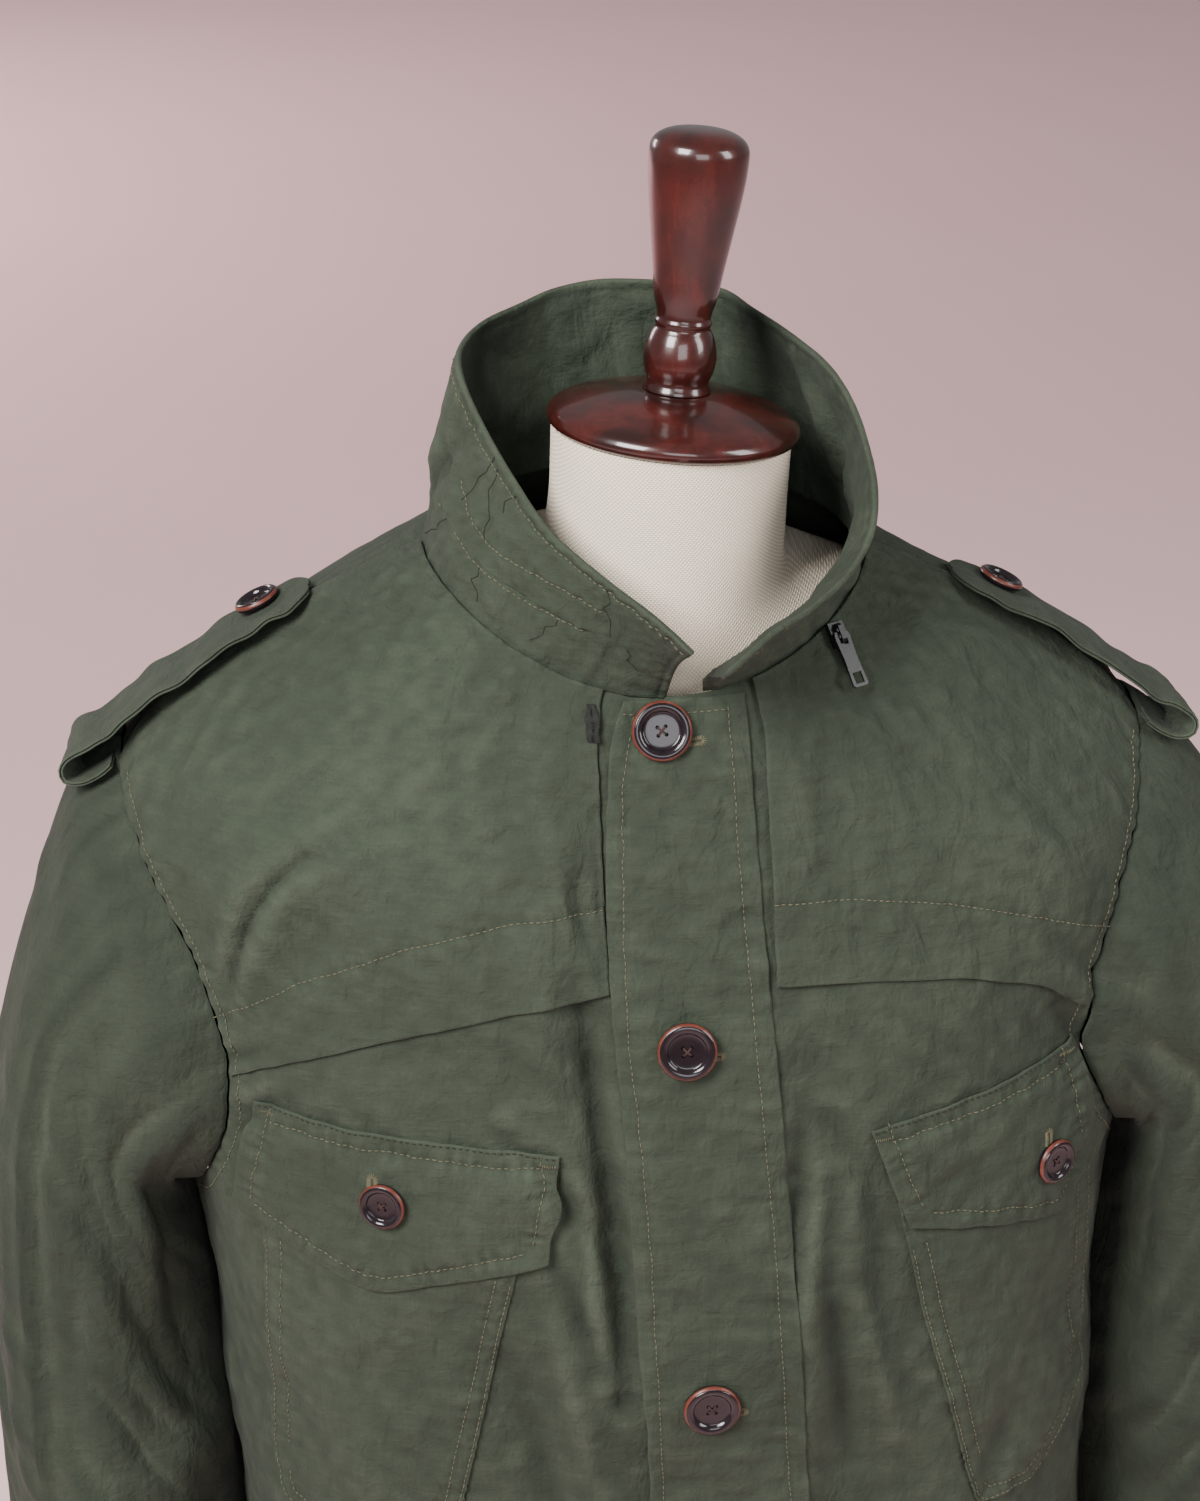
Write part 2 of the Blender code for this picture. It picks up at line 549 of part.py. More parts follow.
def panel_grid(columns, reach, middle):
    """Points and normals of a front or back; it ends at the side seams and the armholes.

    middle is theta at its centre line and reach how far the armholes cut into it."""
    v = panel_rows()
    half_height = (ARMPIT_V - TIP_V) / 2
    inside = np.clip(1 - ((v - (TIP_V + ARMPIT_V) / 2) / half_height) ** 2, 0, 1)
    edge = np.pi / 2 - reach * np.sqrt(inside)
    across = np.linspace(-1, 1, columns + 1)
    theta = middle + edge[:, None] * across[None, :]
    v_grid = np.repeat(v[:, None], columns + 1, axis=1)
    points, normals = jacket(theta, v_grid), jacket_normal(theta, v_grid)
    first, last = np.argmin(abs(v - TIP_V)), np.argmin(abs(v - ARMPIT_V))
    down = np.pi * np.arange(last - first + 1) / ARM_SIDES
    front = middle == 0
    for column, side in ((0, -1 if front else 1), (columns, 1 if front else -1)):
        normals[first:last + 1, column] = seam_direction(down if front else -down, side)
    return points, normals


def draw_in(points, column, inner, rows=None):
    """Pull a grid's edge column back from its seam."""
    rows = slice(None) if rows is None else rows
    points[rows, column] += unit(points[rows, inner] - points[rows, column]) * SEAM / 2


def seam_rows():
    """Rows of a panel whose end lies on a shoulder or a side seam."""
    v = panel_rows()
    return np.flatnonzero((v <= TIP_V + 1e-9) | (v >= ARMPIT_V - 1e-9))


def front_sheet():
    return panel_grid(2 * HALF_COLUMNS, ARMHOLE_FRONT, 0.0)


def make_panels():
    points, normals = front_sheet()
    rows = seam_rows()
    middle = HALF_COLUMNS
    for name, span, centre, outer in (("front_right", slice(0, middle + 1), -1, 0),
                                      ("front_left", slice(middle, None), 0, -1)):
        part = points[:, span].copy()
        draw_in(part, outer, 1 if outer == 0 else -2, rows)
        draw_in(part, centre, -2 if centre == -1 else 1)
        mesh = wall(name, sheet(part, normals[:, span]), -CLOTH, CLOTH)
        place(name, mesh, (OLIVE, 0.85))
    points, normals = panel_grid(BACK_COLUMNS, ARMHOLE_BACK, math.pi)
    draw_in(points, 0, 1, rows)
    draw_in(points, -1, -2, rows)
    place("back", wall("back", sheet(points, normals), -CLOTH, CLOTH), (OLIVE, 0.85))


def make_sleeves():
    turn = np.pi * np.arange(2 * ARM_SIDES) / ARM_SIDES
    w = np.array(SLEEVE_ROWS)
    turns, ws = np.meshgrid(turn, w)
    for name, side in (("sleeve_right", -1), ("sleeve_left", 1)):
        points = sleeve(ws, turns, side)
        normals = sleeve_normal(ws, turns, side, sleeve)
        normals[0] = seam_direction(turn, side)
        place(name, tube(name, points, points - normals * CLOTH), (OLIVE, 0.85))


def make_collar():
    turns = np.linspace(COLLAR_EDGE[0][0], COLLAR_EDGE[-1][0], COLLAR_STEPS + 1)
    rises = np.linspace(COLLAR_START, 1, COLLAR_RISES + 1)
    t, r = np.meshgrid(turns, rises)
    points = collar(t, r)
    normals = surface_normal(collar, t, r, 1.0, 0.004)
    outward = points - np.array(CAP_CENTRE)
    outward[..., 2] = 0
    facing = np.sign((normals * outward).sum(-1).mean())
    place("collar", wall("collar", sheet(points, normals * facing), -COLLAR_WALL, COLLAR_WALL),
          (OLIVE, 0.85))


def make_yokes():
    points, normals = front_sheet()
    for name, side in (("right", -1), ("left", 1)):
        span = slice(0, HALF_COLUMNS + 1) if side < 0 else slice(HALF_COLUMNS, None)
        part = points[:, span].copy()
        outer = 0 if side < 0 else -1
        inner = 1 if side < 0 else -2
        outward = normals[:, span].copy()
        run = part[:, inner] - part[:, outer]
        share = YOKE_SHORT / np.linalg.norm(run, axis=-1, keepdims=True)
        part[:, outer] += run * share
        outward[:, outer] += (outward[:, inner] - outward[:, outer]) * share
        part[0] += unit(part[1] - part[0]) * YOKE_BELOW
        bm = sheet(part, unit(outward))
        a, b, c = (Vector(p) for p in YOKE_EDGE[name])
        away = (b - a).cross(c - a)
        away *= -1 if away.z > 0 else 1
        cut(bm, a, away)
        cut(bm, (YOKE_INNER_X[name], 0, 0), (-side, 0, 0))
        place("yoke_" + name, wall("yoke_" + name, bm, YOKE_LAID, PATCH), (OLIVE_PIECES, 0.85))


def line_x(line, z):
    (x1, z1), (x2, z2) = line
    return x1 + (x2 - x1) * (z - z1) / (z2 - z1)


def make_placket():
    points, normals = front_sheet()
    points[0] += unit(points[1] - points[0]) * PLACKET_BELOW
    bm = sheet(points, normals)
    for line, side in ((PLACKET_FREE_EDGE, -1), (PLACKET_SEWN_EDGE, 1)):
        (x1, z1), (x2, z2) = line
        cut(bm, (x1, 0, z1), (side * (z1 - z2), 0, -side * (x1 - x2)))
        crease(bm, (x1 - side * PLACKET_CREASE, 0, z1), (side * (z1 - z2), 0, -side * (x1 - x2)))

    def lift(p):
        from_edge = (p.x - line_x(PLACKET_FREE_EDGE, p.z)) / PLACKET_BEND
        below_top = min(max((1.185 - p.z) / 0.05, 0), 1)
        return LAID + PLACKET_STAND * max(0, 1 - from_edge) * below_top
    place("placket", wall("placket", bm, lift, PATCH), (OLIVE_PIECES, 0.85))


def make_pockets():
    """A patch pocket and its flap on each front; a flap hangs over its pocket."""
    for side in ("right", "left"):
        bm = sheet(*front_sheet())
        cut_outline(bm, POCKET[side])
        name = "pocket_" + side
        place(name, wall(name, bm, LAID, PATCH), (OLIVE_PIECES, 0.85))

        bm = sheet(*front_sheet())
        cut_outline(bm, FLAP[side])
        (x1, z1), (x2, z2) = FLAP[side][:2]
        down = Vector((z2 - z1, 0, x1 - x2)).normalized()
        corner = Vector((x1, 0, z1))
        crease(bm, corner + down * FLAP_HANG, down)

        def lift(p, corner=corner, down=down):
            below = (Vector((p.x, 0, p.z)) - corner).dot(down) / FLAP_HANG
            return LAID + (PATCH + LAID) * min(max(below, 0), 1)
        name = "pocket_flap_" + side
        place(name, wall(name, bm, lift, PATCH), (OLIVE_PIECES, 0.85))


def make_straps():
    """A folded strap along each shoulder, sewn into the armhole and buttoned near the neck."""
    for name, side in (("strap_right", -1), ("strap_left", 1)):
        ridge_v = np.linspace(0, TIP_V, 60)
        ridge = jacket(np.full(60, side * math.pi / 2), ridge_v)
        behind = jacket(np.full(60, side * math.radians(100)), ridge_v)
        height = np.maximum(ridge[:, 2] + PATCH + YOKE_LAID, behind[:, 2])
        stations = [(x, float(np.interp(x, abs(ridge[:, 0]), height)) + over)
                    for x, over in STRAP_TOP]
        tip_x, tip_z = abs(ridge[-1, 0]), ridge[-1, 2]
        stations += [(tip_x + x, tip_z + z) for x, z in STRAP_FOLD]
        path = np.array(stations)
        ahead = np.gradient(path, axis=0)
        normal = unit(np.stack([-ahead[:, 1], ahead[:, 0]], -1))
        across = np.array((-1.0, 0.0, 1.0))
        inner, outer = STRAP_HALF_WIDTH
        half = inner + (outer - inner) * np.linspace(0, 1, len(path))
        half[:len(STRAP_POINT)] = STRAP_POINT
        points = np.empty((len(path), 3, 3))
        normals = np.empty_like(points)
        points[..., 0] = side * path[:, None, 0]
        points[..., 1] = STRAP_MIDDLE_Y + half[:, None] * across
        points[..., 2] = path[:, None, 1]
        normals[..., 0] = side * normal[:, None, 0]
        normals[..., 1] = 0
        normals[..., 2] = normal[:, None, 1]
        place(name, wall(name, sheet(points, normals), 0, STRAP_WALL), (OLIVE_PIECES, 0.85))


# ------------------------------------------------------------------ the hard pieces
def tree_of(name):
    bm = bmesh.new()
    bm.from_mesh(bpy.data.objects[name].data)
    tree = BVHTree.FromBMesh(bm)
    bm.free()
    return tree


def seat(carrier, start, towards, radius):
    """Matrix that sets a flat-backed piece on a carrier, just clear of it.

    A ray from start along towards finds the place; the piece's +Z looks back along the normal
    of the carrier round that place."""
    tree = tree_of(carrier)
    hit, _, _, _ = tree.ray_cast(Vector(start), Vector(towards).normalized())
    normal = Vector((0, 0, 0))
    across = Vector(towards).normalized().orthogonal().normalized()
    spots = [Matrix.Rotation(k * math.tau / 12, 3, Vector(towards)) @ across for k in range(12)]
    for spot in spots:
        n = tree.ray_cast(Vector(start) + spot * radius * 0.6, Vector(towards).normalized())[1]
        normal += n if n is not None else Vector((0, 0, 0))
    normal.normalize()
    if normal.dot(Vector(towards)) > 0:
        normal.negate()
    clear = 0.0
    across = normal.orthogonal().normalized()
    for share in (0.35, 0.7, 1.0):
        for k in range(16):
            spot = Matrix.Rotation(k * math.tau / 16, 3, normal) @ across * radius * share
            found = tree.ray_cast(hit + spot + normal * 0.02, -normal)[0]
            if found is not None:
                clear = max(clear, (found - hit).dot(normal))
    turn = normal.to_track_quat("Z", "Y").to_matrix().to_4x4()
    return Matrix.Translation(hit + normal * (clear + SEAM)) @ turn


def button_mesh(name, width, sides):
    r = width / 2
    profile = ((0, 0.0024), (0.56 * r, 0.0024), (0.72 * r, 0.0036), (0.86 * r, BUTTON_HEIGHT),
               (r, 0.0034), (r, 0.0014), (0.90 * r, 0), (0, 0))
    return turned(name, profile, sides)


def make_buttons():
    for k, (x, z) in enumerate(FRONT_BUTTONS):
        name = "button_%d" % (k + 1)
        place(name, button_mesh(name, BUTTON_WIDTH, 18), (HORN, 0.25),
              seat("placket", (x, -0.5, z), (0, 1, 0), BUTTON_WIDTH / 2))
    for side, (x, z) in FLAP_BUTTON.items():
        name = "pocket_button_" + side
        place(name, button_mesh(name, SMALL_BUTTON_WIDTH, 16), (HORN, 0.25),
              seat("pocket_flap_" + side, (x, -0.5, z), (0, 1, 0), SMALL_BUTTON_WIDTH / 2))
    for side, sign in (("right", -1), ("left", 1)):
        name = "strap_button_" + side
        place(name, button_mesh(name, SMALL_BUTTON_WIDTH, 16), (HORN, 0.25),
              seat("strap_" + side, (sign * STRAP_BUTTON_X, STRAP_MIDDLE_Y, 1.5), (0, 0, -1),
                   SMALL_BUTTON_WIDTH / 2))


def flat_outline(name, loops, thick):
    """A plate from closed outlines in its own XY plane, the later ones being holes."""
    curve = bpy.data.curves.new(name, "CURVE")
    curve.dimensions = "2D"
    curve.fill_mode = "BOTH"
    curve.extrude = thick / 2
    for loop in loops:
        spline = curve.splines.new("POLY")
        spline.points.add(len(loop) - 1)
        for point, (x, y) in zip(spline.points, loop):
            point.co = (x, y, 0, 1)
        spline.use_cyclic_u = True
    source = bpy.data.objects.new(name, curve)
    PARKA.objects.link(source)
    mesh = evaluated_mesh(source)
    bpy.data.curves.remove(curve)
    return finished(mesh, WELD)


def rectangle(x1, x2, y1, y2):
    return ((x1, y1), (x2, y1), (x2, y2), (x1, y2))


def make_zip():
    """Slider at the collar's seam, and the pull tab that hangs from its arch and swings."""
    theta, v = np.array(ZIP_THETA), np.array(ZIP_V)
    here = Vector(jacket(theta, v))
    normal = Vector(jacket_normal(theta, v))
    up = Vector((0, 0, 1))
    up = (up - normal * up.dot(normal)).normalized()
    right = up.cross(normal)
    tree = tree_of("yoke_left")
    clear = 0.0
    for x in np.linspace(-0.5, 0.5, 5):
        for y in np.linspace(-0.5, 0.5, 5):
            spot = here + right * SLIDER_WIDTH * x + up * SLIDER_LENGTH * y
            found = tree.ray_cast(spot + normal * 0.02, -normal)[0]
            if found is not None:
                clear = max(clear, (found - here).dot(normal))
    frame = Matrix((right, up, normal)).transposed().to_4x4()
    frame.translation = here + normal * (clear + SEAM)

    body = bmesh.new()
    bmesh.ops.create_cube(body, size=1)
    bmesh.ops.scale(body, vec=(SLIDER_WIDTH, SLIDER_LENGTH, SLIDER_THICK), verts=body.verts[:])
    bmesh.ops.translate(body, vec=(0, 0, SLIDER_THICK / 2), verts=body.verts[:])
    mesh = bpy.data.meshes.new("zip_slider")
    body.to_mesh(mesh)
    body.free()
    slider = place("zip_slider", mesh, (BLACK_METAL, 0.35, 0.9), frame)

    # The arch is an outline in the plane of length and height, a window below its bar.
    t = SLIDER_THICK
    arch = flat_outline("zip_arch", (
        ((-0.0050, t - 0.001), (0.0050, t - 0.001), (0.0050, t + 0.0010), (0.0034, t + 0.0034),
         (-0.0034, t + 0.0034), (-0.0050, t + 0.0010)),
        rectangle(-0.0024, 0.0024, t, t + 0.0024)), 0.0026)
    upright = Matrix(((0, 0, 1, 0), (1, 0, 0, 0), (0, 1, 0, 0), (0, 0, 0, 1)))
    cutter = bpy.data.objects.new("zip_arch", arch)
    SHAPERS.objects.link(cutter)
    cutter.matrix_world = frame @ upright
    cutter.hide_render = True
    cutter.display_type = "WIRE"
    joined = slider.modifiers.new("arch", "BOOLEAN")
    joined.operation = "UNION"
    joined.object = cutter

    # The pull's bar lies at its origin; an eye below the bar takes the arch.
    w, end = PULL_WIDTH / 2, -PULL_LENGTH
    bar, eye_half, eye_length = 0.0007, 0.0022, 0.0052
    pull = flat_outline("zip_pull", (
        ((-w + 0.0008, bar), (w - 0.0008, bar), (w, -0.002), (w * 0.86, end * 0.5),
         (w, end + 0.001), (w - 0.001, end), (-w + 0.001, end), (-w, end + 0.001),
         (-w * 0.86, end * 0.5), (-w, -0.002)),
        rectangle(-eye_half, eye_half, -bar - eye_length, -bar),
        rectangle(-w + 0.0018, w - 0.0018, end + 0.0015, end + 0.0070)), PULL_THICK)
    hinge = frame @ Matrix.Translation((0, 0, SLIDER_THICK + PULL_THICK))
    place("zip_pull", pull, (BLACK_METAL, 0.35, 0.9), hinge)


def make_tape():
    bm = sheet(*front_sheet())
    cut_outline(bm, TAPE)
    mesh = wall("hook_tape", bm, YOKE_LAID + PATCH + SEAM, TAPE_WALL)
    place("hook_tape", mesh, (TAPE_BLACK, 0.9))


# ------------------------------------------------------------------ the form
def make_form():
    turn = np.linspace(0, 2 * math.pi, FORM_SIDES, endpoint=False)
    rings = []
    for row in NECK:
        rings.append(ring_point(dict(zip(RING, row)), turn))
    off_the_ridge = np.minimum(np.abs(np.cos(turn)) / 0.2, 1)
    for v in SHOULDER_ROWS:
        vs = np.full_like(turn, v)
        depth = CLOTH + FORM_GAP + SHOULDER_UNDER * off_the_ridge
        rings.append(jacket(turn, vs) - jacket_normal(turn, vs) * depth[:, None])
    for row in TRUNK:
        rings.append(ring_point(dict(zip(RING, row)), turn))
    place("dress_form", loft("dress_form", np.array(rings)), (LINEN, 0.9))

    r = CAP_WIDTH / 2
    cap = turned("neck_cap", (
        (0, CAP_RISE), (0.018, CAP_RISE), (0.60 * r, 0.0098), (0.86 * r, 0.0050),
        (0.97 * r, 0.0016), (r, -0.0016), (0.985 * r, -0.0048), (0.93 * r, -CAP_DEPTH),
        (0, -CAP_DEPTH)), 36)
    leaning = Matrix.Translation(CAP_CENTRE) @ Matrix.Rotation(NECK_TILT, 4, "Y")
    place("neck_cap", cap, (MAHOGANY, 0.18), leaning)

    h = FINIAL_HEIGHT
    finial = turned("finial", (
        (0, h), (0.012, h - 0.0008), (0.0195, h - 0.0038), (0.0228, h - 0.0085), (0.0230, h - 0.0115),
        (0.0188, 0.072), (0.0148, 0.044), (0.0126, 0.0350), (0.0134, 0.0325), (0.0128, 0.0300),
        (0.0156, 0.0245), (0.0172, 0.0170), (0.0164, 0.0095), (0.0146, 0.0045), (0.0160, 0.0),
        (0, 0)), 24)
    place("finial", finial, (MAHOGANY, 0.18), leaning @ Matrix.Translation((0, 0, CAP_RISE + SEAM)))

    low, high = FOOT_HEIGHT + SEAM, FORM_BOTTOM - SEAM
    bpy.ops.mesh.primitive_cylinder_add(vertices=24, radius=POLE_WIDTH / 2, depth=high - low,
                                        location=(0, 0, (high + low) / 2))
    pole = bpy.context.object
    pole.name = pole.data.name = "pole"
    for collection in pole.users_collection:
        collection.objects.unlink(pole)
    PARKA.objects.link(pole)
    pole.data.shade_smooth()
    pole.data.set_sharp_from_angle(angle=math.radians(40))
    pole.data.materials.append(material("pole", MAHOGANY, 0.2))

    r = FOOT_WIDTH / 2
    foot = turned("foot", (
        (0, FOOT_HEIGHT), (0.34 * r, FOOT_HEIGHT), (0.80 * r, FOOT_HEIGHT * 0.72),
        (0.95 * r, FOOT_HEIGHT * 0.62), (r, FOOT_HEIGHT * 0.40), (r, FOOT_HEIGHT * 0.16),
        (0.985 * r, 0), (0, 0)), 40)
    place("foot", foot, (MAHOGANY, 0.2))


# ------------------------------------------------------------------ the whole
for leftover in list(bpy.data.objects):
    bpy.data.objects.remove(leftover)
PARKA = bpy.data.collections.new("parka_on_dress_form")
SHAPERS = bpy.data.collections.new("shapers")
for group in (PARKA, SHAPERS):
    bpy.context.scene.collection.children.link(group)

make_panels()
make_sleeves()
make_collar()
make_yokes()
make_placket()
make_pockets()
make_straps()
make_tape()
make_form()
make_buttons()
make_zip()
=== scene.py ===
"""Looks of the parka on its dress form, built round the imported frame.

Metres, +Z up, the front faces -Y.  The jacket's surface is the one its solids have: v is the
way down the cloth from the collar's seam and theta the way round, 0 at centre front.  Finer
folds, edges, seams and stitches are laid on that surface.
"""
import math

import bmesh
import bpy
import numpy as np
from mathutils import Matrix, Vector


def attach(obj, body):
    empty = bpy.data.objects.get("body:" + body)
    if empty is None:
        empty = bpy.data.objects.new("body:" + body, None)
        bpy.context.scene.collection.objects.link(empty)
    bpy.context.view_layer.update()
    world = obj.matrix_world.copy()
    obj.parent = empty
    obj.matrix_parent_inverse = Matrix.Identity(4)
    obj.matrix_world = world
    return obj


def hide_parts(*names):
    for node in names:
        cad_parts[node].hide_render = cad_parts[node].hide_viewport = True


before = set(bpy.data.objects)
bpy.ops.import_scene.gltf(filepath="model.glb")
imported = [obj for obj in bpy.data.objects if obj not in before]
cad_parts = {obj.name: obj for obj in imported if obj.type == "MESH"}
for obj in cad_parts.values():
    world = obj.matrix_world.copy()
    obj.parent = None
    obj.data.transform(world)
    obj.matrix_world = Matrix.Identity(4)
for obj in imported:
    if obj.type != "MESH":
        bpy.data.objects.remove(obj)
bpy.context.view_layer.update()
BODY = "parka_and_form"
SIDES = (("right", -1), ("left", 1))            # the wearer's, with the sign of x


def linked(name, data):
    """A new object in the scene."""
    thing = bpy.data.objects.new(name, data)
    bpy.context.scene.collection.objects.link(thing)
    return thing


# ------------------------------------------------------------------ camera
IMAGE_HEIGHT = 1501
FOCAL_PIXELS = 2800
CAMERA_AT = (-0.08632, -1.27837, 1.67082)
CAMERA_TURN, CAMERA_PITCH, CAMERA_ROLL = (math.radians(a) for a in (-3, 23, -2.2))


def make_camera():
    """A camera that looks down on the shoulders, as the picture does."""
    lens = bpy.data.cameras.new("camera")
    lens.sensor_width = 36
    lens.lens = 36 * FOCAL_PIXELS / IMAGE_HEIGHT
    lens.clip_end = 100
    a, e, r = CAMERA_TURN, CAMERA_PITCH, CAMERA_ROLL
    back = Vector((math.sin(a) * math.cos(e), -math.cos(a) * math.cos(e), math.sin(e)))
    right = Vector((math.cos(a), math.sin(a), 0))
    up = back.cross(right)
    right, up = (right * math.cos(r) + up * math.sin(r), up * math.cos(r) - right * math.sin(r))
    camera = linked("camera", lens)
    turned = Matrix((right, up, back)).transposed().to_4x4()
    camera.matrix_world = Matrix.Translation(CAMERA_AT) @ turned
    bpy.context.scene.camera = camera


make_camera()

# ------------------------------------------------------------------ sizes
CLOTH = 0.002             # wall of the panels and sleeves
PATCH = 0.0014            # wall of the pieces that lie on a panel
SEAM = 0.0003             # half the gap at a seam
LAID = 0.0005             # a piece's underside over what it lies on
TIP_V, ARMPIT_V, HEM_V = 0.150, 0.360, 0.820
ARMHOLE_FRONT, ARMHOLE_BACK = math.radians(36), math.radians(33)
SLEEVE_LENGTH = 0.610
ARM_SIDES = 64            # cells down one side of an armhole
ROUND_THE_ARM, ROUND_THE_BODY = 0.080, 0.24     # metres of cloth for a radian round them
ARMHOLE_RADIUS = 0.106
CREASE_DEPTH = 1.5        # how much deeper the small creases are laid than their tables say

# ------------------------------------------------------------------ the jacket's form
RING = ("front_y", "front_z", "side_x", "side_y", "side_z", "back_y", "back_z",
        "round_front", "round_back", "middle_x", "tilt")
JACKET_COLUMNS = ("v",) + RING
JACKET = (
    (0.000, -0.092, 1.192, 0.106, 0.004, 1.235, 0.074, 1.256, 1.9, 2.0, 0.006, 0.055),
    (0.070, -0.108, 1.147, 0.170, 0.006, 1.203, 0.100, 1.213, 2.0, 2.1, 0.003, 0.040),
    (0.150, -0.126, 1.092, 0.250, 0.008, 1.143, 0.120, 1.150, 2.1, 2.3, -0.003, 0.018),
    (0.210, -0.138, 1.046, 0.257, 0.008, 1.078, 0.128, 1.086, 2.2, 2.4, 0.000, 0.010),
    (0.300, -0.150, 0.970, 0.248, 0.006, 0.985, 0.130, 0.985, 2.3, 2.5, 0.000, 0.000),
    (0.380, -0.156, 0.898, 0.236, 0.004, 0.900, 0.126, 0.900, 2.4, 2.5, 0.000, 0.000),
    (0.550, -0.154, 0.730, 0.230, 0.002, 0.730, 0.116, 0.730, 2.5, 2.5, 0.000, 0.000),
    (0.700, -0.156, 0.580, 0.232, 0.000, 0.580, 0.124, 0.580, 2.5, 2.5, 0.000, 0.000),
    (0.820, -0.160, 0.460, 0.238, 0.000, 0.460, 0.132, 0.460, 2.5, 2.5, 0.000, 0.000),
)
NECK_FALL = 0.6

# Largest folds, as the solids have them.  Columns: back, x1, v1, x2, v2, width, height.
FOLDS = (
    (0, -0.036, 0.080, -0.036, 0.400, 0.017, -0.0060),
    (0, -0.136, 0.118, -0.176, 0.160, 0.014, 0.0050),
    (0, -0.176, 0.160, -0.204, 0.215, 0.014, 0.0050),
    (0, -0.150, 0.150, -0.180, 0.205, 0.016, -0.0045),
    (0, 0.165, 0.115, 0.208, 0.200, 0.016, 0.0050),
    (0, 0.078, 0.200, 0.072, 0.350, 0.020, -0.0050),
    (0, 0.108, 0.350, 0.086, 0.540, 0.022, -0.0065),
    (0, -0.095, 0.370, -0.060, 0.560, 0.022, -0.0055),
    (0, -0.170, 0.400, -0.140, 0.640, 0.024, 0.0085),
    (0, -0.110, 0.560, -0.100, 0.860, 0.026, -0.0115),
    (0, 0.150, 0.520, 0.135, 0.860, 0.026, 0.0100),
    (0, -0.050, 0.600, -0.045, 0.860, 0.022, 0.0080),
    (1, -0.175, 0.180, -0.120, 0.420, 0.024, -0.0090),
    (1, 0.175, 0.190, 0.125, 0.440, 0.024, -0.0090),
    (1, -0.060, 0.360, -0.040, 0.860, 0.028, 0.0100),
    (1, 0.075, 0.440, 0.060, 0.860, 0.026, 0.0105),
    (1, 0.010, 0.500, 0.008, 0.860, 0.024, -0.0110),
    (1, -0.150, 0.520, -0.160, 0.860, 0.026, 0.0100),
)

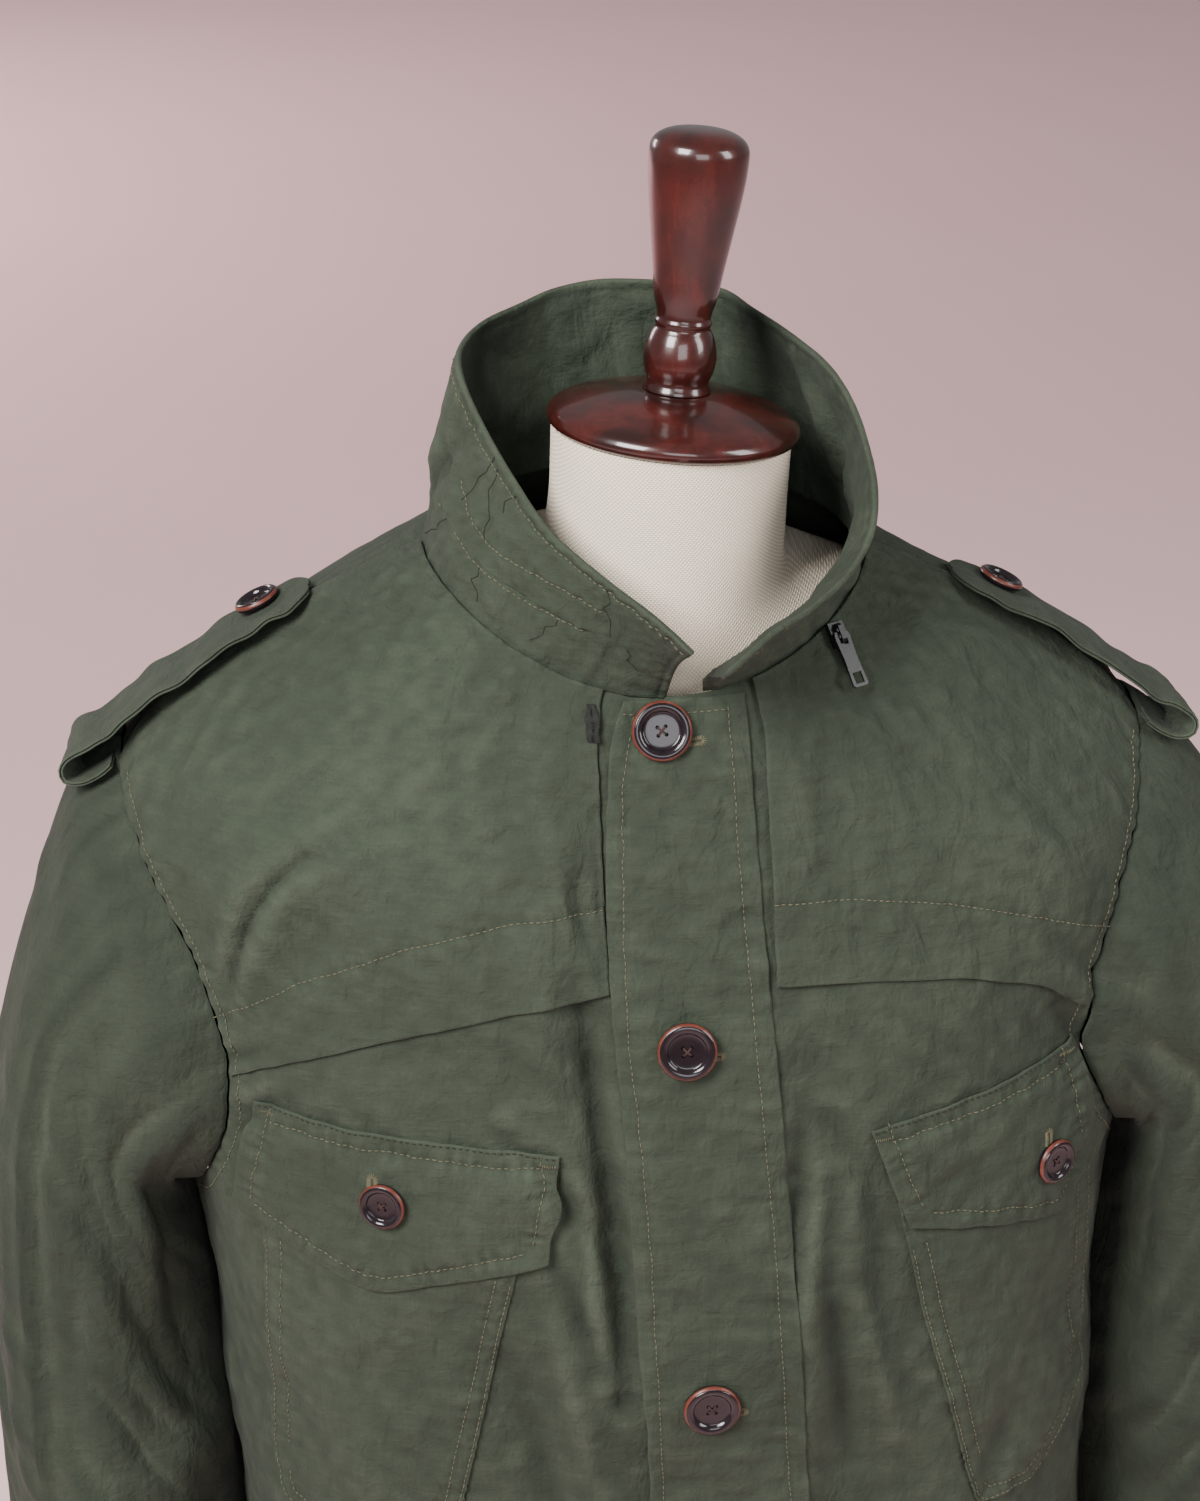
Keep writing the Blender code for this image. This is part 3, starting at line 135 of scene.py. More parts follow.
# Smaller creases laid on the fronts (0) and the back (1), same columns.
CREASES = (
    # arc that drags from the collar to the right armhole, and the soft roll above it
    (0, -0.116, 0.102, -0.160, 0.132, 0.0055, -0.0018),
    (0, -0.130, 0.098, -0.164, 0.136, 0.0090, 0.0018),
    (0, -0.168, 0.128, -0.196, 0.172, 0.0100, 0.0020),
    (0, -0.152, 0.182, -0.176, 0.224, 0.0080, 0.0014),
    # soft folds that fall from the neckline
    (0, -0.070, 0.055, -0.064, 0.150, 0.0080, -0.0012),
    (0, -0.052, 0.030, -0.048, 0.170, 0.0070, 0.0012),
    (0, -0.090, 0.070, -0.098, 0.200, 0.0120, 0.0012),
    (0, -0.060, 0.140, -0.056, 0.250, 0.0090, 0.0014),
    (0, -0.078, 0.150, -0.074, 0.240, 0.0070, -0.0010),
    # beside the placket's free edge, down to the deep trough under the bust
    (0, -0.029, 0.085, -0.026, 0.190, 0.0055, -0.0022),
    (0, -0.040, 0.200, -0.029, 0.330, 0.0060, -0.0044),
    (0, -0.029, 0.300, -0.026, 0.430, 0.0072, -0.0060),
    (0, -0.045, 0.300, -0.036, 0.420, 0.0072, 0.0038),
    (0, -0.060, 0.284, -0.034, 0.345, 0.0055, -0.0022),
    (0, -0.064, 0.330, -0.030, 0.430, 0.0060, -0.0020),
    (0, -0.060, 0.380, -0.040, 0.500, 0.0080, 0.0024),
    (0, -0.082, 0.400, -0.060, 0.520, 0.0080, -0.0020),
    # right of the placket
    (0, 0.062, 0.270, 0.058, 0.350, 0.0060, -0.0032),
    (0, 0.070, 0.300, 0.060, 0.400, 0.0070, 0.0030),
    (0, 0.088, 0.290, 0.082, 0.380, 0.0080, 0.0018),
    (0, 0.074, 0.370, 0.084, 0.480, 0.0070, -0.0044),
    (0, 0.092, 0.385, 0.106, 0.470, 0.0080, 0.0036),
    (0, 0.058, 0.390, 0.064, 0.520, 0.0070, 0.0020),
    (0, 0.080, 0.060, 0.086, 0.190, 0.0100, -0.0010),
    (0, 0.062, 0.040, 0.066, 0.120, 0.0080, 0.0012),
    (0, 0.100, 0.020, 0.128, 0.100, 0.0090, -0.0014),
    (0, 0.128, 0.050, 0.170, 0.140, 0.0100, 0.0014),
    (0, 0.150, 0.190, 0.176, 0.245, 0.0080, -0.0012),
    # at the left armhole
    (0, 0.172, 0.120, 0.206, 0.172, 0.0060, -0.0020),
    (0, 0.186, 0.200, 0.220, 0.250, 0.0055, -0.0018),
    (0, 0.196, 0.226, 0.226, 0.290, 0.0055, 0.0020),
    (0, 0.192, 0.246, 0.228, 0.320, 0.0050, -0.0024),
    # at the right armhole, below the yoke's seam
    (0, -0.188, 0.240, -0.214, 0.262, 0.0040, -0.0020),
    (0, -0.184, 0.258, -0.208, 0.280, 0.0040, 0.0016),
    (0, -0.186, 0.272, -0.210, 0.300, 0.0040, -0.0016),
    # below the chest, outside the picture
    (0, -0.190, 0.440, -0.130, 0.560, 0.0100, -0.0026),
    (0, -0.200, 0.520, -0.160, 0.700, 0.0110, 0.0026),
    (0, 0.180, 0.440, 0.140, 0.560, 0.0100, -0.0026),
    (0, 0.205, 0.500, 0.180, 0.700, 0.0110, 0.0026),
    (0, -0.070, 0.620, -0.076, 0.860, 0.0100, -0.0024),
    (0, 0.090, 0.560, 0.100, 0.860, 0.0110, -0.0030),
    (0, 0.190, 0.600, 0.196, 0.860, 0.0120, -0.0026),
    (0, -0.160, 0.640, -0.176, 0.860, 0.0120, -0.0026),
    # back
    (1, -0.060, 0.010, -0.110, 0.090, 0.0090, -0.0014),
    (1, 0.060, 0.010, 0.115, 0.095, 0.0090, -0.0014),
    (1, -0.150, 0.160, -0.190, 0.230, 0.0070, 0.0022),
    (1, 0.150, 0.165, 0.192, 0.240, 0.0070, 0.0022),
    (1, -0.130, 0.200, -0.185, 0.300, 0.0070, -0.0024),
    (1, 0.135, 0.215, 0.186, 0.310, 0.0070, -0.0024),
    (1, -0.070, 0.260, -0.030, 0.400, 0.0110, 0.0024),
    (1, 0.040, 0.280, 0.066, 0.430, 0.0110, -0.0024),
    (1, -0.110, 0.400, -0.100, 0.620, 0.0110, -0.0030),
    (1, 0.110, 0.430, 0.120, 0.700, 0.0120, 0.0028),
    (1, -0.020, 0.540, -0.030, 0.860, 0.0110, 0.0030),
    (1, 0.036, 0.560, 0.040, 0.860, 0.0100, 0.0026),
    (1, 0.150, 0.560, 0.160, 0.860, 0.0120, -0.0034),
    (1, -0.096, 0.620, -0.104, 0.860, 0.0120, -0.0030),
)

# Curved creases of the fronts: the points (x, v), width and height.
ARCS = (
    (((-0.148, 0.127), (-0.160, 0.134), (-0.169, 0.141), (-0.177, 0.150), (-0.187, 0.166), (-0.194, 0.184),
      (-0.201, 0.206), (-0.206, 0.230)), 0.0040, -0.0074),
    (((-0.166, 0.126), (-0.182, 0.141), (-0.196, 0.166), (-0.207, 0.196)), 0.0075, 0.0024),
    (((-0.034, 0.096), (-0.040, 0.126), (-0.036, 0.160), (-0.030, 0.184)), 0.0050, -0.0030),
    (((-0.090, 0.262), (-0.064, 0.290), (-0.047, 0.330), (-0.040, 0.385)), 0.0055, -0.0034),
    (((0.066, 0.262), (0.088, 0.300), (0.100, 0.350), (0.098, 0.410)), 0.0060, -0.0030),
)

SLEEVE_COLUMNS = ("w", "out_x", "out_z", "in_x", "in_z", "mid_y", "depth")
SLEEVE = (
    (0.00, 0.250, 1.143, 0.238, 0.922, 0.003, 0.085),
    (0.02, 0.270, 1.128, 0.249, 0.922, 0.003, 0.088),
    (0.06, 0.296, 1.086, 0.247, 0.913, 0.002, 0.090),
    (0.12, 0.320, 1.025, 0.2395, 0.888, 0.000, 0.090),
    (0.18, 0.335, 0.965, 0.2355, 0.853, 0.000, 0.088),
    (0.26, 0.348, 0.885, 0.2318, 0.805, 0.000, 0.086),
    (0.38, 0.354, 0.765, 0.2302, 0.715, -0.006, 0.080),
    (0.50, 0.350, 0.645, 0.2350, 0.615, -0.016, 0.072),
    (0.61, 0.338, 0.530, 0.243, 0.520, -0.022, 0.064),
)
# Sleeve folds, turn 0 outside, 90 in front, 180 inside: w1, turn1, w2, turn2, width, height.
SLEEVE_FOLDS = (
    (0.040, 40, 0.560, 62, 0.016, 0.0060),
    (0.060, 78, 0.240, 118, 0.018, -0.0060),
    (0.240, 118, 0.470, 96, 0.020, -0.0050),
    (0.300, 150, 0.400, 60, 0.020, 0.0050),
    (0.360, 170, 0.470, 80, 0.020, -0.0055),
    (0.080, 292, 0.330, 250, 0.020, -0.0060),
    (0.330, 300, 0.430, 210, 0.020, 0.0055),
    (0.430, 320, 0.540, 240, 0.020, -0.0050),
)
# Smaller creases of each sleeve, same columns; the last says which arm has it, 0 for both.
SLEEVE_CREASES = (
    (0.030, 52, 0.420, 66, 0.0045, 0.0026, -1),
    (0.035, 58, 0.300, 72, 0.0060, -0.0010, -1),
    (0.020, 96, 0.120, 108, 0.0080, -0.0030, 0),
    (0.030, 110, 0.180, 128, 0.0080, 0.0026, 0),
    (0.060, 128, 0.260, 140, 0.0080, -0.0026, 0),
    (0.020, 78, 0.090, 88, 0.0080, 0.0018, 0),
    (0.140, 88, 0.330, 80, 0.0090, -0.0016, 0),
    (0.200, 100, 0.300, 132, 0.0090, 0.0022, 0),
    (0.260, 84, 0.360, 130, 0.0080, -0.0022, 0),
    (0.330, 70, 0.420, 120, 0.0080, 0.0022, 0),
    (0.050, 20, 0.260, 24, 0.0100, -0.0012, 0),
    (0.300, 20, 0.420, 70, 0.0080, -0.0020, 0),
    (0.380, 30, 0.480, 90, 0.0080, 0.0020, 0),
    (0.460, 60, 0.540, 110, 0.0080, -0.0020, 0),
    (0.020, 250, 0.150, 240, 0.0080, -0.0028, 0),
    (0.060, 276, 0.220, 262, 0.0090, 0.0026, 0),
    (0.220, 240, 0.320, 290, 0.0090, -0.0024, 0),
    (0.280, 230, 0.380, 300, 0.0080, 0.0024, 0),
    (0.360, 240, 0.460, 310, 0.0090, -0.0026, 0),
    (0.450, 250, 0.560, 300, 0.0090, 0.0022, 0),
    (0.060, 336, 0.220, 350, 0.0100, -0.0020, 0),
    (0.160, 12, 0.330, 4, 0.0100, -0.0020, 0),
    (0.240, 320, 0.360, 352, 0.0090, 0.0022, 0),
    (0.300, 344, 0.400, 318, 0.0090, -0.0024, 0),
    (0.340, 6, 0.440, 36, 0.0090, -0.0022, 0),
    (0.400, 352, 0.500, 330, 0.0090, 0.0020, 0),
    (0.460, 10, 0.560, 40, 0.0090, -0.0020, 0),
)

EDGE_COLUMNS = ("turn", "x", "y", "z", "flare")
COLLAR_EDGE = (
    (-1, 0.015, -0.138, 1.228, -0.010),
    (13, 0.001, -0.125, 1.240, -0.008),
    (35, -0.021, -0.096, 1.252, -0.004),
    (55, -0.042, -0.072, 1.267, 0.000),
    (75, -0.0565, -0.045, 1.284, 0.003),
    (96, -0.0705, -0.018, 1.305, 0.004),
    (111, -0.079, -0.005, 1.325, 0.004),
    (124, -0.078, 0.016, 1.333, 0.004),
    (137, -0.067, 0.035, 1.339, 0.004),
    (152, -0.048, 0.051, 1.343, 0.004),
    (167, -0.028, 0.068, 1.346, 0.004),
    (182, 0.000, 0.076, 1.347, 0.004),
    (203, 0.049, 0.057, 1.345, 0.004),
    (217, 0.065, 0.035, 1.339, 0.004),
    (234, 0.083, 0.009, 1.330, 0.004),
    (249, 0.096, -0.018, 1.321, 0.002),
    (260, 0.105, -0.030, 1.305, 0.000),
    (275, 0.108, -0.056, 1.290, -0.004),
    (286, 0.108, -0.075, 1.278, -0.006),
    (296, 0.105, -0.083, 1.261, -0.008),
    (308, 0.092, -0.102, 1.249, -0.010),
    (322, 0.072, -0.119, 1.239, -0.010),
    (335, 0.053, -0.130, 1.232, -0.010),
    (349, 0.029, -0.144, 1.218, -0.010),
)


# ------------------------------------------------------------------ numbers to shapes
def smooth(xs, ys, x):
    """Cubic through the points (xs, ys), read at x."""
    xs, ys, x = (np.asarray(k, float) for k in (xs, ys, x))
    slope = np.empty_like(ys)
    slope[1:-1] = (ys[2:] - ys[:-2]) / (xs[2:] - xs[:-2])
    slope[0] = (ys[1] - ys[0]) / (xs[1] - xs[0])
    slope[-1] = (ys[-1] - ys[-2]) / (xs[-1] - xs[-2])
    i = np.clip(np.searchsorted(xs, x, side="right") - 1, 0, len(xs) - 2)
    h = xs[i + 1] - xs[i]
    t = (x - xs[i]) / h
    return ((2 * t**3 - 3 * t**2 + 1) * ys[i] + (t**3 - 2 * t**2 + t) * h * slope[i]
            + (3 * t**2 - 2 * t**3) * ys[i + 1] + (t**3 - t**2) * h * slope[i + 1])


def read(table, columns, x):
    rows = np.array(table)
    return {name: smooth(rows[:, 0], rows[:, k], x) for k, name in enumerate(columns)}


def bump(x, y, line, width, height):
    """A soft ridge or trough along a line, fading at both ends."""
    x1, y1, x2, y2 = line
    length = math.hypot(x2 - x1, y2 - y1)
    t = np.clip(((x - x1) * (x2 - x1) + (y - y1) * (y2 - y1)) / length**2, 0, 1)
    away = np.hypot(x - x1 - t * (x2 - x1), y - y1 - t * (y2 - y1))
    return height * np.exp(-(away / width) ** 2) * np.sin(np.pi * np.clip(t, 0.08, 0.92)) ** 0.6


def crinkle(x, y, seed, size, waves=14):
    """Even-handed unevenness of about that size, between -1 and 1."""
    random = np.random.default_rng(seed)
    total = np.zeros(np.broadcast(x, y).shape)
    for _ in range(waves):
        way, phase = random.uniform(0, 2 * math.pi, 2)
        k = 2 * math.pi / (size * random.uniform(0.6, 1.8))
        total += np.sin(k * (x * math.cos(way) + y * math.sin(way)) + phase)
    return total / math.sqrt(waves)


def ease(x):
    x = np.clip(x, 0, 1)
    return x * x * (3 - 2 * x)


def unit(a):
    return a / np.maximum(np.linalg.norm(a, axis=-1, keepdims=True), 1e-12)


def ring_point(m, theta, fall=1.0):
    """Point of a ring at theta, as an array (..., 3)."""
    front = np.cos(theta) >= 0
    n = np.where(front, m["round_front"], m["round_back"])
    s = np.sign(np.sin(theta)) * np.abs(np.sin(theta)) ** (2 / n)
    c = np.abs(np.cos(theta)) ** (2 / n)
    end_y = np.where(front, m["front_y"], m["back_y"])
    end_z = np.where(front, m["front_z"], m["back_z"])
    x = m["side_x"] * s + m["middle_x"]
    y = m["side_y"] + (end_y - m["side_y"]) * c
    z = m["side_z"] + (end_z - m["side_z"]) * c ** np.where(front, fall, 1.0) - m["tilt"] * x
    return np.stack(np.broadcast_arrays(x, y, z), -1)


def bare_jacket(theta, v):
    fall = 1 + NECK_FALL * np.clip(1 - v / TIP_V, 0, 1)
    return ring_point(read(JACKET, JACKET_COLUMNS, v), theta, fall)


def surface_normal(shape, a, b, step_a=0.004, step_b=0.002):
    """Normal of shape(a, b) from small steps both ways."""
    along_a = shape(a + step_a, b) - shape(a - step_a, b)
    along_b = shape(a, b + step_b) - shape(a, b - step_b)
    return unit(np.cross(along_b, along_a))


def round_armhole(theta, v):
    """Distance out from the nearer armhole's seam, and the way round it, in metres."""
    off_side = np.abs(np.abs((theta + math.pi) % (2 * math.pi) - math.pi) - math.pi / 2)
    front = np.cos(theta) >= 0
    a = off_side / np.where(front, ARMHOLE_FRONT, ARMHOLE_BACK)
    b = (v - (TIP_V + ARMPIT_V) / 2) / ((ARMPIT_V - TIP_V) / 2)
    return (np.hypot(a, b) - 1) * ARMHOLE_RADIUS, np.arctan2(a, -b) * ARMHOLE_RADIUS


def pucker(away, at, deepest, height, wave=0.0105):
    """Puckers beside a seam, none on the seam itself."""
    ripple = np.sin(2 * math.pi * at / wave + 1.5 * np.sin(at * 160) + 0.8 * np.sin(at * 61))
    away = np.maximum(away, 0) / deepest
    return height * ripple * away * np.exp(1 - away)


def relief(theta, v, x):
    """Height of folds, creases and crinkles over the bare jacket."""
    lift = np.zeros_like(v)
    fade = np.clip(np.abs(np.cos(theta)) / 0.25, 0, 1)
    front = np.cos(theta) >= 0
    for depth, table in ((1, FOLDS), (CREASE_DEPTH, CREASES)):
        for back, x1, v1, x2, v2, width, height in table:
            side = ~front if back else front
            lift += np.where(side, bump(x, v, (x1, v1, x2, v2), width, height * depth) * fade, 0)
    for line, width, height in ARCS:
        away, at = follow(x, v, line)
        ends = np.sin(np.pi * np.clip(at / length_of(line), 0.02, 0.98)) ** 0.7
        lift += np.where(front, height * np.exp(-(away / width) ** 2) * ends * fade, 0)
    lift += pucker(*round_armhole(theta, v), 0.0040, 0.00045)
    arc = theta * ROUND_THE_BODY
    lift += 0.00060 * crinkle(arc, v, 3, 0.030) * crinkle(arc, v, 4, 0.110)
    lift += 0.00028 * crinkle(arc, v, 6, 0.014)
    return lift + 0.0012 * crinkle(arc, v, 5, 0.120) * ease(v / 0.1)


def jacket(theta, v):
    """The jacket's outside with all its folds."""
    theta, v = np.broadcast_arrays(np.asarray(theta, float), np.asarray(v, float))
    p = bare_jacket(theta, v)
    return p + surface_normal(bare_jacket, theta, v) * relief(theta, v, p[..., 0])[..., None]


def jacket_normal(theta, v):
    return surface_normal(jacket, theta, v)


def armhole(turn, side, out=1.0):
    """theta and v round an armhole: turn 0 at the tip, 90 degrees in front, 180 the armpit."""
    middle, half = (TIP_V + ARMPIT_V) / 2, (ARMPIT_V - TIP_V) / 2
    reach = np.where(np.sin(turn) > 0, ARMHOLE_FRONT, ARMHOLE_BACK) * out * np.sin(turn)
    return side * (math.pi / 2 - reach), middle - half * out * np.cos(turn)


def bare_sleeve(w, turn, side):
    """The sleeve's outside before its folds; its first ring is the armhole itself."""
    def ellipse(at):
        m = read(SLEEVE, SLEEVE_COLUMNS, at)
        c = np.cos(turn)
        return np.stack(np.broadcast_arrays(
            (m["out_x"] + m["in_x"]) / 2 + (m["out_x"] - m["in_x"]) / 2 * c,
            m["mid_y"] - m["depth"] * np.sin(turn),
            (m["out_z"] + m["in_z"]) / 2 + (m["out_z"] - m["in_z"]) / 2 * c), -1)
    mirror = np.array((side, 1, 1))
    theta, v = armhole(turn, side)
    near = ease(1 - w / 0.10)
    return (ellipse(w) + (jacket(theta, v) * mirror - ellipse(0 * w)) * near[..., None]) * mirror


def sleeve(w, turn, side):
    """The sleeve's outside with all its folds."""
    w, turn = np.broadcast_arrays(np.asarray(w, float), np.asarray(turn, float))
    p = bare_sleeve(w, turn, side)
    lift = np.zeros_like(w)
    arc = turn % (2 * math.pi) * ROUND_THE_ARM
    for w1, turn1, w2, turn2, width, height, *arm in SLEEVE_FOLDS + SLEEVE_CREASES:
        if not arm or arm[0] in (0, side):
            line = (w1, math.radians(turn1) * ROUND_THE_ARM, w2, math.radians(turn2) * ROUND_THE_ARM)
            lift += bump(w, arc, line, width, height * (CREASE_DEPTH if arm else 1))
    circle_x, circle_y = np.cos(turn) * ROUND_THE_ARM, np.sin(turn) * ROUND_THE_ARM
    uneven = crinkle(w + circle_x, circle_y, 11 + side, 0.034) * crinkle(w, circle_y, 13, 0.110)
    lift += pucker(w, arc, 0.0060, 0.00035)
    lift += (0.0009 * uneven + 0.0012 * crinkle(w, circle_x + circle_y, 15 + side, 0.120)) * ease(w / 0.03)
    normal = surface_normal(lambda t, k: bare_sleeve(k, t, side), turn, w) * -side
    return p + normal * lift[..., None]


def collar(turn, rise):
    """The collar's outside; turn in degrees, rise 0 at the seam and 1 at the top edge."""
    turn, rise = np.broadcast_arrays(np.asarray(turn, float), np.asarray(rise, float))
    m = read(COLLAR_EDGE, EDGE_COLUMNS, turn)
    top = np.stack([m["x"], m["y"], m["z"]], -1)
    base = jacket(np.radians(-turn), 0 * turn)
    out = np.stack([-np.sin(np.radians(turn)), -np.cos(np.radians(turn)), 0 * turn], -1)
    return base + (top - base) * rise[..., None] + out * (m["flare"] * np.sin(np.pi * rise))[..., None]


# ------------------------------------------------------------------ finishes
def add(tree, kind, inputs=(), **settings):
    """A shader node; inputs maps a socket's name or number to a value or to another socket."""
    made = tree.nodes.new(kind)
    for key, value in settings.items():
        setattr(made, key, value)
    for key, value in dict(inputs).items():
        if isinstance(value, bpy.types.NodeSocket):
            tree.links.new(value, made.inputs[key])
        else:
            made.inputs[key].default_value = value
    return made


def new_material(name, **constants):
    """A material with its tree, its shader and the object's coordinates."""
    made = bpy.data.materials.new(name)
    made.use_nodes = True
    tree = made.node_tree
    shader = tree.nodes["Principled BSDF"]
    for key, value in constants.items():
        shader.inputs[key.replace("_", " ")].default_value = value
    return made, tree, shader, add(tree, "ShaderNodeTexCoord").outputs["Object"]


def noise(tree, where, scale, detail=3.0, roughness=0.55, distortion=0.0):
    return add(tree, "ShaderNodeTexNoise", {"Vector": where, "Scale": scale, "Detail": detail,
                                            "Roughness": roughness, "Distortion": distortion}).outputs["Fac"]


def math_node(tree, operation, *values, clamp=False):
    return add(tree, "ShaderNodeMath", dict(enumerate(values)), operation=operation,
               use_clamp=clamp).outputs[0]


def mix(tree, share, a, b):
    made = add(tree, "ShaderNodeMix", data_type="RGBA")
    for socket, value in zip((made.inputs[0], made.inputs[6], made.inputs[7]), (share, a, b)):
        if isinstance(value, bpy.types.NodeSocket):
            tree.links.new(value, socket)
        else:
            socket.default_value = value if isinstance(value, float) else (*value, 1)
    return made.outputs[2]


def stretched(tree, where, scale):
    return add(tree, "ShaderNodeMapping", {"Vector": where, "Scale": scale}).outputs[0]


def bumped(tree, height, distance, strength, over=None):
    inputs = {"Height": height, "Distance": distance, "Strength": strength}
    if over is not None:
        inputs["Normal"] = over
    return add(tree, "ShaderNodeBump", inputs).outputs[0]


def finished(tree, shader, colour, normal):
    tree.links.new(colour, shader.inputs["Base Color"])
    tree.links.new(normal, shader.inputs["Normal"])


OLIVE_DARK = (0.0104, 0.0139, 0.0094)
OLIVE = (0.0228, 0.0292, 0.0198)
OLIVE_LIGHT = (0.0455, 0.0550, 0.0385)


def cotton(name, tone=1.0):
    """Washed olive cotton: plain weave with slubs, crinkles, mottling, painted light and shade on its ridges
    and hollows, and lighter rubbed edges.
    """
    made, tree, shader, where = new_material(
        name, Roughness=0.85, Sheen_Weight=0.02, Sheen_Roughness=0.45, Specular_IOR_Level=0.15)
    # 'fade' holds painted light and shade of the folds, ridges lighter and hollows darker, and the lighter
    # rubbed edges
    fade = add(tree, "ShaderNodeAttribute", attribute_name="fade").outputs["Fac"]
    cloud = noise(tree, where, 7.0, 3.0)
    mottle = noise(tree, where, 60.0, 5.0, 0.6)
    slub = noise(tree, stretched(tree, where, (1.0, 1.0, 14.0)), 55.0, 4.0, 0.65)
    warp = noise(tree, stretched(tree, where, (16.0, 16.0, 1.0)), 60.0, 3.0, 0.6)
    share = math_node(tree, "MULTIPLY_ADD", cloud, 0.55, -0.275)
    for source, weight in ((mottle, 0.34), (slub, 0.24), (warp, 0.26)):
        share = math_node(tree, "ADD", share, math_node(tree, "MULTIPLY_ADD", source, weight, -weight / 2))
    share = math_node(tree, "ADD", share, fade, clamp=True)
    low = mix(tree, math_node(tree, "MULTIPLY", share, 2.0, clamp=True), OLIVE_DARK, OLIVE)
    colour = mix(tree, math_node(tree, "MULTIPLY_ADD", share, 2.0, -1.0, clamp=True), low, OLIVE_LIGHT)
    if tone != 1.0:
        colour = add(tree, "ShaderNodeHueSaturation", {"Color": colour, "Value": tone}).outputs[0]
    crumpled = noise(tree, stretched(tree, where, (1.0, 1.0, 0.42)), 62.0, 3.0, 0.5, 0.8)
    crinkled = noise(tree, where, 95.0, 6.0, 0.62, 0.6)
    fine = noise(tree, stretched(tree, where, (0.5, 0.5, 2.2)), 900.0, 2.0)
    normal = None
    for height, distance, strength in ((crumpled, 0.0036, 0.85), (crinkled, 0.0021, 0.90),
                                       (slub, 0.0003, 0.8), (fine, 0.00018, 0.9)):
        normal = bumped(tree, height, distance, strength, normal)
    finished(tree, shader, colour, normal)
    return made


def linen():
    """Cream linen of the form, its threads crossing on the bias."""
    made, tree, shader, where = new_material("linen", Roughness=0.9, Sheen_Weight=0.1, Specular_IOR_Level=0.2)
    turned = add(tree, "ShaderNodeMapping", {"Vector": where, "Rotation": (0, 0.80, 0)}).outputs[0]
    weave = math_node(tree, "MULTIPLY", *(
        add(tree, "ShaderNodeTexWave", {"Vector": turned, "Scale": 230.0, "Distortion": 1.0},
            bands_direction=way).outputs["Fac"] for way in "XZ"))
    patchy = noise(tree, where, 30.0, 4.0)
    colour = mix(tree, weave, (0.50, 0.41, 0.31), (0.80, 0.73, 0.63))
    colour = mix(tree, math_node(tree, "MULTIPLY", patchy, 0.25), colour, (0.58, 0.50, 0.40))
    finished(tree, shader, colour, bumped(tree, weave, 0.0004, 0.8))
    return made


def mahogany():
    """Polished red-brown wood with dark figure under the varnish."""
    made, tree, shader, where = new_material(
        "mahogany", Roughness=0.26, Coat_Weight=0.50, Coat_Roughness=0.09, Specular_IOR_Level=0.3)
    grain = noise(tree, stretched(tree, where, (6.0, 6.0, 1.0)), 28.0, 6.0, 0.65, 1.2)
    cloud = noise(tree, where, 26.0, 4.0, 0.6, 0.8)
    red = mix(tree, grain, (0.010, 0.0022, 0.0020), (0.070, 0.0105, 0.0075))
    ramp = add(tree, "ShaderNodeValToRGB", {"Fac": cloud})
    ramp.color_ramp.elements[0].position, ramp.color_ramp.elements[1].position = 0.36, 0.62
    colour = mix(tree, ramp.outputs[0], (0.014, 0.0035, 0.003), red)
    finished(tree, shader, colour, bumped(tree, grain, 0.0002, 0.25))
    return made


def clouded(name, scale, dark, light, detail=4.0, roughness=0.6, **constants):
    """A plain finish that clouds between two colours."""
    made, tree, shader, where = new_material(name, **constants)
    cloud = noise(tree, where, scale, detail, roughness)
    tree.links.new(mix(tree, cloud, dark, light), shader.inputs["Base Color"])
    return made


def thread(name, dark, light):
    return clouded(name, 220.0, dark, light, 3.0, Roughness=0.85, Sheen_Weight=0.03,
                   Specular_IOR_Level=0.15)


def black_metal():
    """Black enamel with a painted highlight: bright grey along its edges, speckled by noise."""
    made, tree, shader, where = new_material(
        "black_metal", Metallic=0.2, Roughness=0.24, Specular_IOR_Level=0.25)
    speckle = noise(tree, where, 500.0, 4.0, 0.7)
    # painted highlight: the 'fade' attribute marks the edges that are painted bright grey
    edge = add(tree, "ShaderNodeAttribute", attribute_name="fade").outputs["Fac"]
    share = math_node(tree, "MULTIPLY", edge, speckle, clamp=True)
    colour = mix(tree, share, (0.012, 0.012, 0.013), (0.55, 0.54, 0.52))
    finished(tree, shader, colour, bumped(tree, speckle, 0.00005, 0.4))
    return made


COTTON, COTTON_PIECES = cotton("olive_cotton"), cotton("olive_cotton_pieces", 1.04)
LINEN, MAHOGANY, METAL = linen(), mahogany(), black_metal()
HORN = clouded("horn", 160.0, (0.004, 0.003, 0.004), (0.013, 0.008, 0.010),
               Roughness=0.14, Specular_IOR_Level=0.35)
RIM = clouded("button_rim", 240.0, (0.030, 0.008, 0.006), (0.135, 0.036, 0.023),
              Roughness=0.32, Specular_IOR_Level=0.3)
THREAD = thread("tan_olive_thread", (0.046, 0.043, 0.026), (0.118, 0.106, 0.066))
# dark thread, also the finish of the painted shade lines in the collar's creases
DARK_THREAD_AND_CREASE_SHADE = thread("dark_thread_and_crease_shade", (0.006, 0.007, 0.005), (0.020, 0.021, 0.014))
BUTTON_THREAD = thread("button_thread", (0.012, 0.008, 0.008), (0.05, 0.025, 0.022))
TAPE_CLOTH = thread("hook_tape", (0.002, 0.002, 0.002), (0.020, 0.020, 0.018))


# ------------------------------------------------------------------ meshes
def show(name, mesh, finish, replaces=()):
    """An object of the dressed part, in the place of the solids it replaces."""
    thing = linked(name, mesh)
    mesh.materials.append(finish)
    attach(thing, BODY)
    if replaces:
        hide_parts(*replaces)
    return thing


